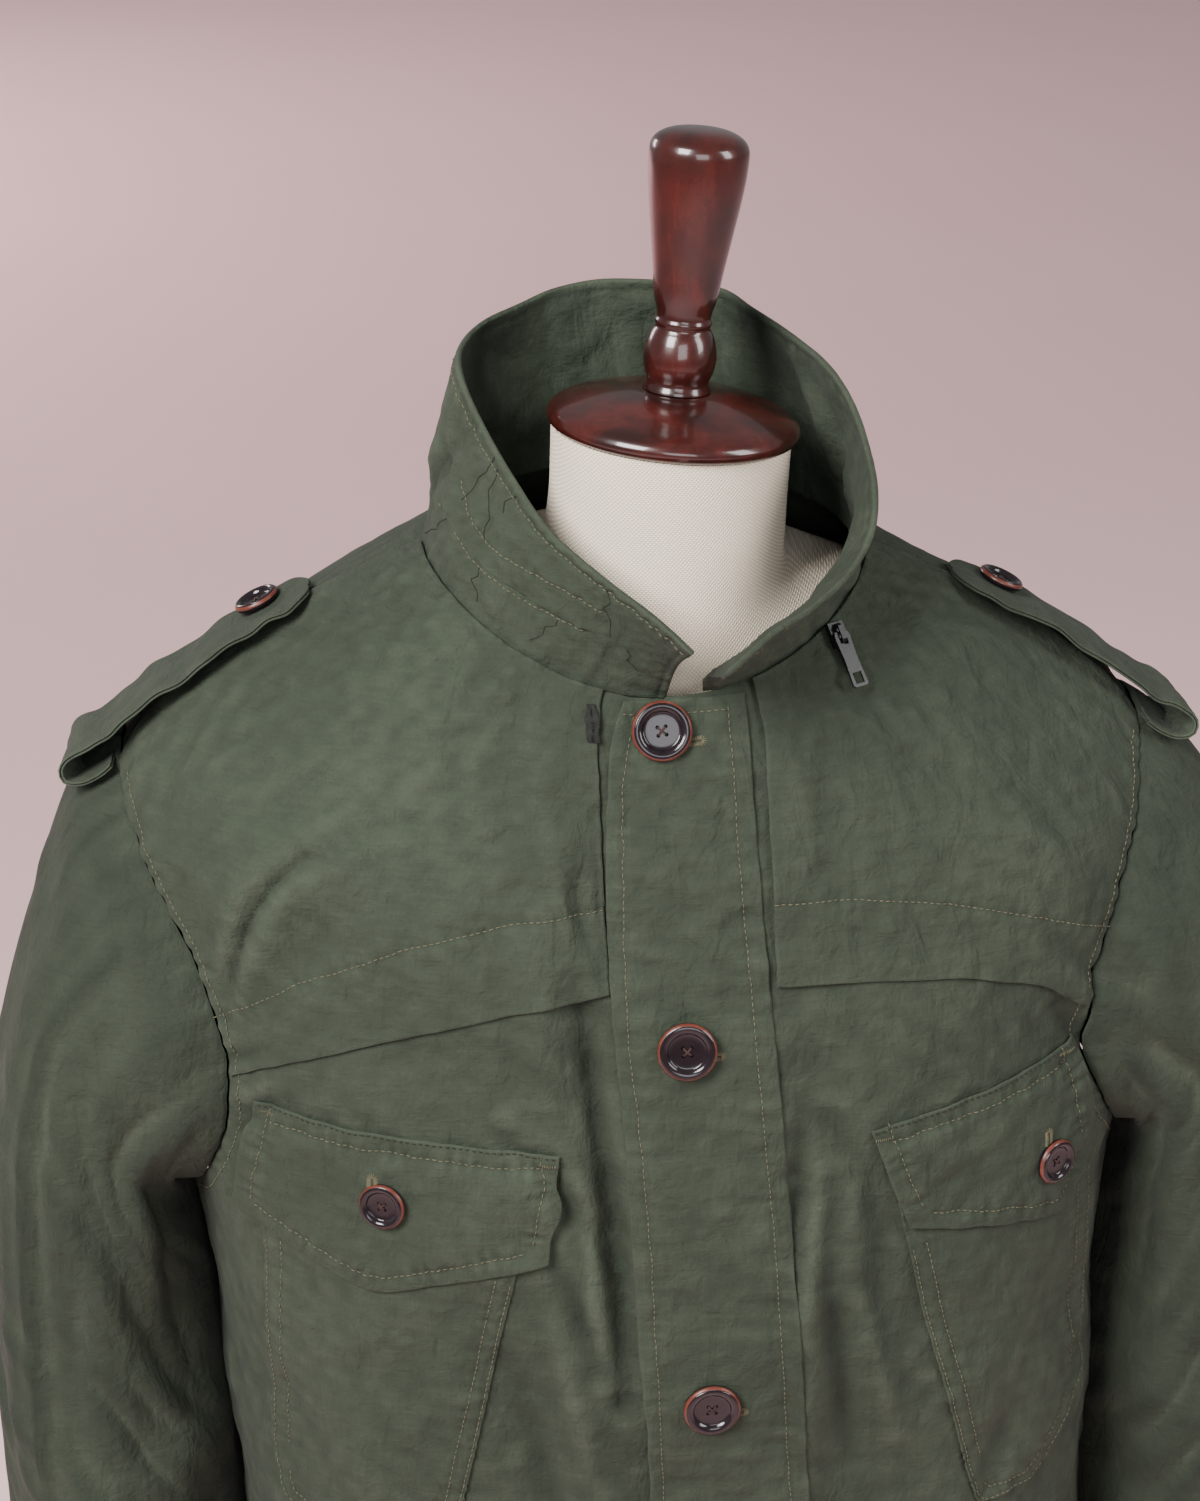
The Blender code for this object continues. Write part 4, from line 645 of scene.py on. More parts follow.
def mesh_of(name, verts, faces):
    mesh = bpy.data.meshes.new(name)
    mesh.from_pydata(verts.reshape(-1, 3).tolist(), [], faces)
    mesh.shade_smooth()
    return mesh


def grid_faces(rows, columns, wrap=False):
    r, c = np.meshgrid(np.arange(rows - 1), np.arange(columns if wrap else columns - 1), indexing="ij")
    a = r * columns + c
    b = r * columns + (c + 1) % columns
    return np.stack([a, a + columns, b + columns, b], -1).reshape(-1, 4)


def grid_normals(points, wrap=False):
    """Normals of a grid, the cross of its steps down and its steps across."""
    down = np.gradient(points, axis=0)
    if wrap:
        across = np.roll(points, -1, axis=1) - np.roll(points, 1, axis=1)
    else:
        across = np.gradient(points, axis=1)
    return unit(np.cross(down, across))


def shell(name, outer, inner, fade, wrap=False):
    """A closed wall between an outer and an inner grid; its rim joins them."""
    rows, columns = outer.shape[:2]
    count, last = rows * columns, (rows - 1) * columns

    def rim(a, b):
        return np.stack([a, b, b + count, a + count], -1)
    other_way = [0, 3, 2, 1]
    outside = grid_faces(rows, columns, wrap)
    across = np.arange(columns if wrap else columns - 1)
    after = (across + 1) % columns
    faces = [outside, outside[:, ::-1] + count, rim(across, after),
             rim(across + last, after + last)[:, other_way]]
    if not wrap:
        down = np.arange(rows - 1) * columns
        right = down + columns - 1
        faces += [rim(down, down + columns)[:, other_way], rim(right, right + columns)]
    mesh = mesh_of(name, np.stack([outer, inner]), np.concatenate(faces).tolist())
    # 'fade' holds painted light and shade of the folds and the lighter rubbed edges; the inside takes nine
    # tenths of it
    values = mesh.attributes.new("fade", "FLOAT", "POINT")
    values.data.foreach_set("value", np.float32([fade, fade * 0.9]).ravel())
    return mesh


def blurred(values, times, wrap=False):
    """A grid's values averaged with their neighbours, over and over."""
    for _ in range(times):
        padded = np.pad(values, ((1, 1), (0, 0)), mode="edge")
        padded = np.pad(padded, ((0, 0), (1, 1)), mode="wrap" if wrap else "edge")
        values = (padded[:-2, 1:-1] + padded[2:, 1:-1] + padded[1:-1, :-2] + padded[1:-1, 2:]
                  + 4 * values) / 8
    return values


def painted_fold_shade(points, normals, wrap=False, gain=260.0):
    """Painted light and shade of a grid's points: ridges are painted lighter and hollows darker, as light
    falls on folds.
    """
    plain = np.stack([blurred(points[..., k], 6, wrap) for k in range(3)], -1)
    height = ((points - plain) * normals).sum(-1)
    return np.clip(0.5 + gain * height, 0.2, 0.85)


def run_of(line):
    """Distance of each point of a polyline from its start."""
    steps = np.linalg.norm(np.diff(line, axis=0), axis=1)
    return np.concatenate([[0], np.cumsum(steps)])


def read_line(at, run, line):
    """What a polyline's rows say at distances along it."""
    return np.stack([np.interp(at, run, line[:, k]) for k in range(line.shape[1])], -1)


def run_lengths(points, axis):
    """Distance along a grid's rows (axis 1) or columns (axis 0) from its start, and the total."""
    steps = np.linalg.norm(np.diff(points, axis=axis), axis=-1)
    start = np.zeros_like(np.take(steps, [0], axis=axis))
    run = np.concatenate([start, np.cumsum(steps, axis=axis)], axis=axis)
    return run, np.take(run, [-1], axis=axis)


def rounded(edge, reach):
    """Share of full thickness at a distance in from an edge that is rounded over reach."""
    return np.sqrt(np.clip(1 - (1 - np.clip(edge / reach, 0, 1)) ** 2, 0, 1))


def spaced(length, step, ends=(0.0003, 0.0009, 0.0018, 0.0032)):
    """Places from 0 to length about step apart, closer at both ends."""
    middle = np.linspace(0, length, max(int(round(length / step)), 2) + 1)
    keep = (middle > ends[-1] + step * 0.4) & (middle < length - ends[-1] - step * 0.4)
    return np.concatenate([[0], ends, middle[keep], length - np.array(ends)[::-1], [length]])


# ------------------------------------------------------------------ stitches
STITCH_LENGTH, STITCH_PITCH, STITCH_RADIUS = 0.0023, 0.0032, 0.00030
STITCH_SLANT, STITCH_WANDER, STITCH_UNEVEN = 0.06, 0.00008, 0.10
# painted shade lines in the collar's creases: their length, pitch and radius
SHADE_LINE_LENGTH, SHADE_LINE_PITCH, SHADE_LINE_RADIUS = 0.0015, 0.0012, 0.00022
# One stitch as rings (along, lift, radius) in shares of its length and radius.
STITCH_RINGS = ((-0.5, -0.9, 0.15), (-0.36, 0.2, 0.85), (0.0, 0.75, 1.0), (0.36, 0.2, 0.85),
                (0.5, -0.9, 0.15))
STITCH_SIDES = 5
SEWN_STEP = 0.0015        # between the points that a row of stitches is laid through
SEWN = {}                 # stitches by the name of the mesh they go into


def resample(points, pitch):
    """Points at equal steps along a polyline, with the directions there."""
    run = run_of(points)
    count = max(round(run[-1] / pitch), 1)
    at = (np.arange(count) + 0.5) * run[-1] / count
    ahead = read_line(at + pitch / 4, run, points) - read_line(at - pitch / 4, run, points)
    return read_line(at, run, points), unit(ahead), run, at


def sew(group, points, normals, pitch=STITCH_PITCH, length=STITCH_LENGTH, radius=STITCH_RADIUS):
    """Lay a row of stitches along a line on cloth; they are kept until they are joined."""
    points = np.asarray(points, float)
    where, ahead, run, at = resample(points, pitch)
    out = unit(read_line(at, run, normals))
    random = np.random.default_rng(len(points) * 7 + int(abs(points[0, 0]) * 1e4))
    jitter = random.uniform(-1, 1, (len(where), 3))
    side = unit(np.cross(out, ahead))
    ahead = unit(ahead + side * STITCH_SLANT * jitter[:, :1])
    side = unit(np.cross(out, ahead))
    where = where + side * STITCH_WANDER * jitter[:, 1:2] + out * (radius * 0.45)
    longer = length * (1 + STITCH_UNEVEN * jitter[:, 2])
    rings = []
    angles = np.arange(STITCH_SIDES) * 2 * math.pi / STITCH_SIDES
    for along, lift, thick in STITCH_RINGS:
        centre = where + ahead * (along * longer)[:, None] + out * lift * radius
        for angle in angles:
            rings.append(centre + (side * math.cos(angle) + out * math.sin(angle)) * radius * thick)
    SEWN.setdefault(group, []).append(np.stack(rings, 1))


def join_stitches():
    """One mesh for each group of stitches."""
    sides, count = STITCH_SIDES, len(STITCH_RINGS)
    one = grid_faces(count, sides, True)[:, [0, 3, 2, 1]]
    end = (count - 1) * sides
    caps = [tuple(range(sides))[::-1], tuple(range(end, end + sides))]
    for group, parts in SEWN.items():
        stitches = np.concatenate(parts)
        offsets = np.arange(len(stitches)) * count * sides
        faces = (one[None] + offsets[:, None, None]).reshape(-1, 4).tolist()
        faces += [[k + o for k in cap] for o in offsets.tolist() for cap in caps]
        # groups ending in _dark, the collar's painted crease shade among them, take the dark finish
        finish = DARK_THREAD_AND_CREASE_SHADE if group.endswith("_dark") else THREAD
        show(group, mesh_of(group, stitches, faces), finish)


# ------------------------------------------------------------------ cloth on the fronts
def edge_distance(points, sides):
    """Distance of a grid's points from its named edges, measured along its rows and columns."""
    nearest = np.full(points.shape[:2], 1.0)
    for axis, first, last in ((0, "top", "bottom"), (1, "left", "right")):
        run, total = run_lengths(points, axis)
        if first in sides:
            nearest = np.minimum(nearest, run)
        if last in sides:
            nearest = np.minimum(nearest, total - run)
    return nearest


ALL_SIDES = ("top", "bottom", "left", "right")


def cloth_shell(name, points, thickness, reach, sides=ALL_SIDES, wrap=False):
    """A wall whose outside passes through points; its named edges are rounded and rubbed."""
    normals = grid_normals(points, wrap)
    edge = edge_distance(points, sides)
    thin = (thickness / 2 * (1 - rounded(edge, reach)))[..., None]
    # shade: painted light and shade of the folds, plus lighter rubbed edges
    shade = painted_fold_shade(points, normals, wrap) + 0.10 * np.exp(-(edge / 0.0016) ** 2)
    return shell(name, points - normals * thin, points - normals * (thickness - thin), shade, wrap)


HALVINGS = 28             # of the jacket's length, until v is exact


def locate(x, z):
    """theta and v of the front's point that is seen at (x, z) from straight in front."""
    x, z = np.broadcast_arrays(np.asarray(x, float), np.asarray(z, float))
    low, high = np.zeros(x.shape), np.full(x.shape, HEM_V)
    for _ in range(HALVINGS):
        v = (low + high) / 2
        m = read(JACKET, JACKET_COLUMNS, v)
        s = np.clip((x - m["middle_x"]) / m["side_x"], -1, 1)
        theta = np.sign(s) * np.arcsin(np.abs(s) ** (m["round_front"] / 2))
        higher = bare_jacket(theta, v)[..., 2] > z
        low, high = np.where(higher, v, low), np.where(higher, high, v)
    return theta, v


def on_jacket(theta, v, lift):
    """Points at a height over the jacket, and the normals there."""
    normal = jacket_normal(theta, v)
    return jacket(theta, v) + normal * np.asarray(lift)[..., None], normal


def length_of(line):
    return float(np.linalg.norm(np.diff(np.asarray(line, float), axis=0), axis=1).sum())


def along(line, share):
    """Points at shares of a polyline's length."""
    line = np.asarray(line, float)
    run = run_of(line)
    return read_line(np.asarray(share) * run[-1], run, line)


def softened(line, radius=0.004, steps=5):
    """A polyline with its inner corners rounded."""
    line = [np.array(p, float) for p in line]
    out = [line[0]]
    for before, corner, after in zip(line, line[1:], line[2:]):
        a = corner + unit(before - corner) * min(radius, np.linalg.norm(before - corner) / 2)
        b = corner + unit(after - corner) * min(radius, np.linalg.norm(after - corner) / 2)
        for t in np.linspace(0, 1, steps):
            out.append((1 - t) ** 2 * a + 2 * t * (1 - t) * corner + t**2 * b)
    return np.array(out + [line[-1]])


def between(top, bottom, left, right, step, scale=(1, 1)):
    """Grid between four border lines that meet at its corners."""
    stretch = np.array(scale, float)
    width = max(length_of(top * stretch), length_of(bottom * stretch))
    height = max(length_of(left * stretch), length_of(right * stretch))
    s, t = spaced(width, step) / width, spaced(height, step) / height
    a, b = along(top, s)[None], along(bottom, s)[None]
    c, d = along(left, t)[:, None], along(right, t)[:, None]
    s, t = s[None, :, None], t[:, None, None]
    corners = ((1 - s) * (1 - t) * a[:, :1] + s * (1 - t) * a[:, -1:]
               + (1 - s) * t * b[:, :1] + s * t * b[:, -1:])
    return (1 - t) * a + t * b + (1 - s) * c + s * d - corners


def follow(x, z, line):
    """Distance of points from a polyline, and how far along it they lie."""
    nearest, at, start = np.full(np.shape(x), 9.0), np.zeros(np.shape(x)), 0.0
    for (x1, z1), (x2, z2) in zip(line[:-1], line[1:]):
        length = math.hypot(x2 - x1, z2 - z1)
        t = np.clip(((x - x1) * (x2 - x1) + (z - z1) * (z2 - z1)) / length**2, 0, 1)
        away = np.hypot(x - x1 - t * (x2 - x1), z - z1 - t * (z2 - z1))
        at = np.where(away < nearest, start + t * length, at)
        nearest = np.minimum(nearest, away)
        start += length
    return nearest, at


def sewn(x, z, lines, dip=0.00045, pucker=0.00030, wave=0.0085):
    """Height of the cloth at rows of stitches: a dip along them and puckers beside them."""
    lift = np.zeros(np.shape(x))
    for k, line in enumerate(lines):
        away, at = follow(x, z, line)
        ripple = np.sin(2 * math.pi * at / wave + 1.7 * np.sin(at * 210 + k) + 2.1 * k)
        lift += pucker * ripple * np.exp(-(away / 0.0055) ** 2) - dip * np.exp(-(away / 0.0015) ** 2)
    return lift


def sew_on(group, line, lift, **how):
    """Stitches along a line of (x, z) on a piece whose top is lift(x, z) over the front."""
    at = along(line, np.linspace(0, 1, max(int(length_of(line) / SEWN_STEP), 2)))
    x, z = at[:, 0], at[:, 1]
    points, normals = on_jacket(*locate(x, z), lift(x, z))
    sew(group, points, normals, **how)


def cloth(name, mesh, node, finish=COTTON_PIECES, shown=True):
    """Show a cloth piece; unless shown is false, the node's solid is hidden."""
    thing = show(name + "_cloth", mesh, finish, (node,) if shown else ())


# ------------------------------------------------------------------ fronts, back and sleeves
PANEL_STEP = 0.0050
FRONT_COLUMNS, BACK_COLUMNS, SLEEVE_ROWS = 112, 84, 132
PANEL_EDGE = 0.002        # how far in a panel's rounded edge reaches


def panel(name, across, reach, middle):
    """A front or the back: from the collar's seam to the hem, cut out for the arms."""
    half, centre = (ARMPIT_V - TIP_V) / 2, (ARMPIT_V + TIP_V) / 2
    hole = centre - half * np.cos(np.pi * np.arange(ARM_SIDES + 1) / ARM_SIDES)
    above = np.linspace(0.0003, TIP_V, int(TIP_V / PANEL_STEP))
    below = np.linspace(ARMPIT_V, HEM_V, int((HEM_V - ARMPIT_V) / PANEL_STEP))
    v = np.concatenate([above[:-1], hole, below[1:]])
    inside = np.clip(1 - ((v - centre) / half) ** 2, 0, 1)
    edge = np.pi / 2 - reach * np.sqrt(inside) - SEAM
    theta = middle + edge[:, None] * across[None, :]
    points = jacket(theta, np.repeat(v[:, None], len(across), axis=1))
    cloth(name, cloth_shell(name, points, CLOTH, PANEL_EDGE), name, COTTON)


def make_panels():
    half = np.linspace(0, 1, FRONT_COLUMNS)
    half[0] = SEAM
    panel("front_right", -half[::-1], ARMHOLE_FRONT, 0.0)
    panel("front_left", half, ARMHOLE_FRONT, 0.0)
    panel("back", np.linspace(-1, 1, BACK_COLUMNS), ARMHOLE_BACK, math.pi)


def make_sleeves():
    turn = -np.pi * np.arange(2 * ARM_SIDES) / ARM_SIDES
    w = np.concatenate([(0.0004, 0.0016, 0.0034), np.linspace(0.006, SLEEVE_LENGTH, SLEEVE_ROWS)])
    turns, ws = np.meshgrid(turn, w)
    for name, side in SIDES:
        name = "sleeve_" + name
        points = sleeve(ws, turns * -side, side)
        cloth(name, cloth_shell(name, points, CLOTH, PANEL_EDGE, ("top", "bottom"), True), name, COTTON)


# ------------------------------------------------------------------ collar
COLLAR_WALL = 0.003
COLLAR_START = -0.030
COLLAR_LENGTH, COLLAR_HEIGHT = 0.52, 0.085      # metres for 350 degrees and for rise 1

COLLAR_CREASES = (
    # turn 1, rise 1, turn 2, rise 2, width, height
    (84, 0.95, 82, 0.55, 0.0030, -0.0009),
    (81, 0.94, 68, 0.58, 0.0034, -0.0010),
    (62, 0.36, 55, 0.06, 0.0034, -0.0009),
    (31, 0.95, 22, 0.52, 0.0030, -0.0009),
    (16, 0.47, 9, 0.26, 0.0030, -0.0008),
    (50, 0.95, 40, 0.75, 0.0045, 0.0009),
    (72, 0.30, 60, 0.10, 0.0050, 0.0009),
    (96, 0.92, 101, 0.12, 0.0045, -0.0014),
    (112, 0.80, 106, 0.20, 0.0060, 0.0012),
    (130, 0.95, 138, 0.30, 0.0060, -0.0012),
    (170, 0.90, 165, 0.10, 0.0070, -0.0014),
    (205, 0.95, 212, 0.20, 0.0060, 0.0012),
    (236, 0.85, 228, 0.20, 0.0060, -0.0014),
    (262, 0.95, 268, 0.10, 0.0055, -0.0012),
    (286, 0.80, 280, 0.15, 0.0050, 0.0010),
    (305, 0.85, 312, 0.20, 0.0050, -0.0012),
    (332, 0.80, 326, 0.20, 0.0050, -0.0010),
)
# Lumps of the collar's inner face, which bag towards the neck; same columns.
COLLAR_LUMPS = (
    (118, 0.62, 150, 0.30, 0.0110, 0.0060),
    (132, 0.80, 160, 0.62, 0.0060, -0.0012),
    (100, 0.70, 112, 0.20, 0.0080, 0.0030),
    (172, 0.60, 188, 0.20, 0.0100, 0.0026),
    (205, 0.70, 222, 0.30, 0.0090, 0.0036),
    (232, 0.88, 250, 0.55, 0.0055, 0.0034),
    (238, 0.70, 256, 0.25, 0.0070, 0.0040),
    (262, 0.70, 268, 0.15, 0.0070, 0.0028),
    (60, 0.70, 40, 0.40, 0.0080, 0.0016),
    (290, 0.70, 310, 0.30, 0.0080, 0.0016),
)
EDGE_ROW = ((0.5, 0.925), (349, 0.925))         # stitches along the top edge, as (turn, rise)
LIP = ((-10, 0.47), (25, 0.48), (37, 0.475), (48, 0.44), (62, 0.395), (75, 0.41), (87, 0.44),
       (100, 0.46), (360, 0.46))
LIP_ENDS, LIP_STAND = (26, 92), 0.0015
LIP_BELOW = ((89, 0.395), (83, 0.405), (63, 0.345), (48, 0.375), (37, 0.43), (29, 0.445))
LIP_ABOVE = ((88, 0.66), (78, 0.585), (65, 0.545), (55, 0.60), (45, 0.665), (37, 0.700), (28, 0.715))
COLLAR_CREASE_SHADE = (         # painted shade: thin dark lines laid along the troughs of the collar's creases, as (turn, rise)
    ((84.5, 0.97), (83, 0.86), (84, 0.78), (82.5, 0.68), (82, 0.58)),
    ((81, 0.94), (79, 0.90), (78, 0.80), (74, 0.74), (71, 0.69), (70, 0.62), (67, 0.56)),
    ((70.5, 0.95), (71.5, 0.86), (69, 0.80)),
    ((82, 0.38), (84, 0.28), (83, 0.24), (88, 0.12), (91, 0.06)),
    ((62, 0.34), (60.5, 0.28), (61, 0.22), (57, 0.16), (56, 0.10)),
    ((37, 0.44), (36, 0.36), (38, 0.30), (37, 0.22), (38.5, 0.13)),
    ((31.5, 0.94), (28, 0.84), (29, 0.76), (25, 0.66), (24, 0.60), (22, 0.52)),
    ((16, 0.47), (14, 0.42), (14.5, 0.37), (10, 0.28)),
)


def collar_place(turn, rise):
    """Metres round and up the collar, for its lumps and creases."""
    return np.asarray(turn) / 350 * COLLAR_LENGTH, np.asarray(rise) * COLLAR_HEIGHT


def collar_line(line):
    return [tuple(float(k) for k in collar_place(*point)) for point in line]


def wrinkles(table, turn, rise):
    a, b = collar_place(turn, rise)
    lift = np.zeros(a.shape)
    for t1, r1, t2, r2, width, height in table:
        (a1, b1), (a2, b2) = collar_line(((t1, r1), (t2, r2)))
        lift += bump(a, b, (a1, b1, a2, b2), width, 1.4 * height)
    return lift


def collar_lift(turn, rise):
    """Height of the collar's outside over its plain form."""
    a, b = collar_place(turn, rise)
    lift = 0.0008 * crinkle(a, b, 41, 0.030) * crinkle(a, b, 42, 0.060) + 0.0003 * crinkle(a, b, 43, 0.014)
    lift += 0.0012 * np.sin(np.pi * np.clip(rise, 0, 1)) ** 0.7 + wrinkles(COLLAR_CREASES, turn, rise)
    above = (rise - np.interp(turn, *np.array(LIP).T)) * COLLAR_HEIGHT
    held = ease((turn - LIP_ENDS[0]) / 6) * ease((LIP_ENDS[1] - turn) / 6)
    lip = np.where(above >= -1e-6, np.exp(-np.maximum(above, 0) / 0.012), 0)
    groove = -0.0011 * np.exp(-(np.minimum(above + 0.0006, 0) / 0.0018) ** 2) * (above < 0)
    lift += held * (LIP_STAND * lip + groove)
    edge_line = collar_line(((-1, 0.925), (349, 0.925)))
    lift += sewn(a, b, (collar_line(LIP_BELOW), collar_line(LIP_ABOVE), edge_line), 0.0005, 0.0005)
    return lift * ease((1 - rise) / 0.05)


def on_collar(turn, rise):
    """Points of the collar's outside and their normals."""
    turn, rise = np.broadcast_arrays(np.asarray(turn, float), np.asarray(rise, float))
    normal = surface_normal(collar, turn, rise, 1.0, 0.004)
    return collar(turn, rise) + normal * collar_lift(turn, rise)[..., None], normal


def sew_collar(group, line, **how):
    line = collar_line(line)
    at = along(line, np.linspace(0, 1, max(int(length_of(line) / SEWN_STEP), 4)))
    points, normals = on_collar(at[:, 0] / COLLAR_LENGTH * 350, at[:, 1] / COLLAR_HEIGHT)
    sew(group, points, normals, **how)


def make_collar():
    """Stand collar with a lipped slit on its right half; its layers show along the edge."""
    turns = np.concatenate([np.arange(349, 100, -2.2), np.arange(100, 20, -0.42),
                            np.arange(20, -1, -0.9), [-1]])
    edge_rows = 1 - np.array((0, 0.004, 0.010, 0.018, 0.026, 0.032, 0.038, 0.046, 0.060, 0.076))
    rises = np.concatenate([edge_rows, np.linspace(0.91, 0.50, 26), (0.485, 0.474, 0.467, 0.4615),
                            (0.460, 0.4585), (0.452, 0.444, 0.432), np.linspace(0.415, COLLAR_START, 24)])
    t, r = np.meshgrid(turns, rises)
    lip = np.interp(t, *np.array(LIP).T) - 0.46
    r = r + lip * np.where(r > 0.46, (1 - r) / 0.54, r / 0.46)
    outer, normals = on_collar(t, r)
    edge = edge_distance(outer, ("top", "left", "right"))
    thin = COLLAR_WALL / 2 * (1 - rounded(edge, 0.0016))
    seam = 0.0007 * np.exp(-((edge - 0.0042) / 0.0009) ** 2)
    a, b = collar_place(t, r)
    inward = (wrinkles(COLLAR_LUMPS, t, r) + 0.0008 * crinkle(a, b, 44, 0.035)) * ease((1 - r) / 0.12)
    inner_seam = 0.0006 * np.exp(-((edge - 0.0065) / 0.0011) ** 2)
    inner = outer - normals * (COLLAR_WALL - thin + inward - inner_seam + collar_lift(t, r) * 0.4)[..., None]
    outer = outer - normals * (thin + seam)[..., None]
    # painted light and shade of the folds, lighter rubbed edges, and painted shade in the seam's groove
    shade = painted_fold_shade(outer, normals) + 0.14 * np.exp(-(edge / 0.0022) ** 2) - 120 * seam
    cloth("collar", shell("collar", outer, inner, shade), "collar")
    for line in (EDGE_ROW, LIP_BELOW, LIP_ABOVE):
        sew_collar("stitches_collar", line)
    # painted shade: dark lines along the troughs of the collar's creases
    for line in COLLAR_CREASE_SHADE:
        sew_collar("collar_crease_shade_dark", line, pitch=SHADE_LINE_PITCH, length=SHADE_LINE_LENGTH,
                   radius=SHADE_LINE_RADIUS)


make_panels()
make_sleeves()
make_collar()


# ------------------------------------------------------------------ pieces laid on the fronts
YOKE_SHORT, YOKE_BELOW, YOKE_LAID = 0.003, 0.0008, 0.0009
YOKE_FREE = {             # free lower edge of each yoke, from its inner end, as (x, z)
    "right": ((-0.0255, 1.061), (-0.070, 1.054), (-0.124, 1.041), (-0.170, 1.0265), (-0.208, 1.008)),
    "left": ((0.0515, 1.060), (0.098, 1.0565), (0.140, 1.051), (0.182, 1.037), (0.221, 1.017)),
}
YOKE_STITCHES = {
    "right": ((-0.0255, 1.0995), (-0.075, 1.094), (-0.121, 1.083), (-0.170, 1.063), (-0.223, 1.031)),
    "left": ((0.0515, 1.097), (0.095, 1.094), (0.136, 1.086), (0.180, 1.071), (0.227, 1.049)),
}
YOKE_INNER_X = {"right": -0.0255, "left": 0.0515}
PLACKET_LEFT = ((-0.0125, 1.1905), (-0.0205, 1.172), (-0.0228, 1.135), (-0.0245, 1.059), (-0.0185, 0.935),
                (-0.0168, 0.791), (-0.0135, 0.640), (-0.0108, 0.461))
PLACKET_RIGHT = ((0.0435, 1.1895), (0.0447, 1.172), (0.0450, 1.130), (0.0500, 1.024), (0.0550, 0.944),
                 (0.0620, 0.782), (0.0700, 0.640), (0.0790, 0.461))
PLACKET_STAND, PLACKET_BEND = 0.0028, 0.034
POCKET = {                # top, bottom, left and right borders as (x, z)
    "right": (((-0.1975, 0.965), (-0.066, 0.965)),
              ((-0.2030, 0.792), (-0.1985, 0.766), (-0.1600, 0.757), (-0.1185, 0.757), (-0.1120, 0.776)),
              ((-0.1975, 0.965), (-0.1995, 0.880), (-0.2030, 0.792)),
              ((-0.066, 0.965), (-0.0880, 0.880), (-0.1120, 0.776))),
    "left": (((0.104, 0.965), (0.208, 0.965)),
             ((0.1460, 0.772), (0.1510, 0.755), (0.184, 0.755), (0.216, 0.796)),
             ((0.104, 0.965), (0.1240, 0.868), (0.1460, 0.772)),
             ((0.208, 0.965), (0.2135, 0.925), (0.216, 0.796))),
}
FLAP = {                  # the bottom dips to a blunt point below the button
    "right": (((-0.1960, 1.0000), (-0.1250, 0.9930), (-0.0530, 0.9850)),
              ((-0.2105, 0.9380), (-0.1780, 0.9240), (-0.1430, 0.9105), (-0.1000, 0.9210), (-0.0620, 0.9290)),
              ((-0.1960, 1.0000), (-0.2040, 0.9690), (-0.2105, 0.9380)),
              ((-0.0530, 0.9850), (-0.0560, 0.9570), (-0.0620, 0.9290))),
    "left": (((0.0940, 0.9850), (0.1500, 0.9925), (0.2030, 1.0010)),
             ((0.1140, 0.9300), (0.1560, 0.9205), (0.1920, 0.9105), (0.2050, 0.9260), (0.2130, 0.9420)),
             ((0.0940, 0.9850), (0.1030, 0.9580), (0.1140, 0.9300)),
             ((0.2030, 1.0010), (0.2090, 0.9700), (0.2130, 0.9420))),
}
FLAP_BUTTON = {"right": (-0.140, 0.952), "left": (0.183, 0.941)}
FLAP_HANG = 0.020
FRONT_BUTTONS = ((0.0000, 1.171), (0.002, 1.030), (0.008, 0.841), (0.009, 0.690), (0.009, 0.540))
EDGE_STITCH, WIDE_STITCH, PLACKET_EDGE_STITCH = 0.0085, 0.009, 0.0065
YOKE_STEP, PLACKET_STEP, POCKET_STEP, FLAP_STEP = 0.0025, 0.0024, 0.0021, 0.0015
BUTTONHOLE, BUTTONHOLE_HALF, BUTTONHOLE_THREADS = 0.0075, 0.0024, 15
TACK_IN, TACK_DOWN, TACK_LENGTH, TACK_WIDTH = 0.006, 0.0052, 0.008, 0.0016
SHORT_RADIUS = 0.00026    # thread of buttonholes and bar tacks
PATCH_EDGE = 0.0011       # how far in the rounded edge of a piece reaches


def inset(line, away, ends=(0, 0)):
    """A polyline moved to its right-hand side, with some of each end left off."""
    line = np.array(line, float)
    ahead = unit(np.gradient(line, axis=0))
    moved = line + np.stack([ahead[:, 1], -ahead[:, 0]], -1) * away
    total = length_of(moved)
    shares = np.linspace(ends[0] / total, 1 - ends[1] / total, max(len(line) * 3, 8))
    return along(moved, shares)


def piece(name, points):
    """A piece that lies on the fronts, its outside through points."""
    cloth(name, cloth_shell(name, points, PATCH, PATCH_EDGE), name)


def front_piece(name, grid, lift):
    """A piece from its (x, z) grid; lift(x, z) is its outside over the front."""
    x, z = grid[..., 0], grid[..., 1]
    piece(name, on_jacket(*locate(x, z), lift(x, z))[0])


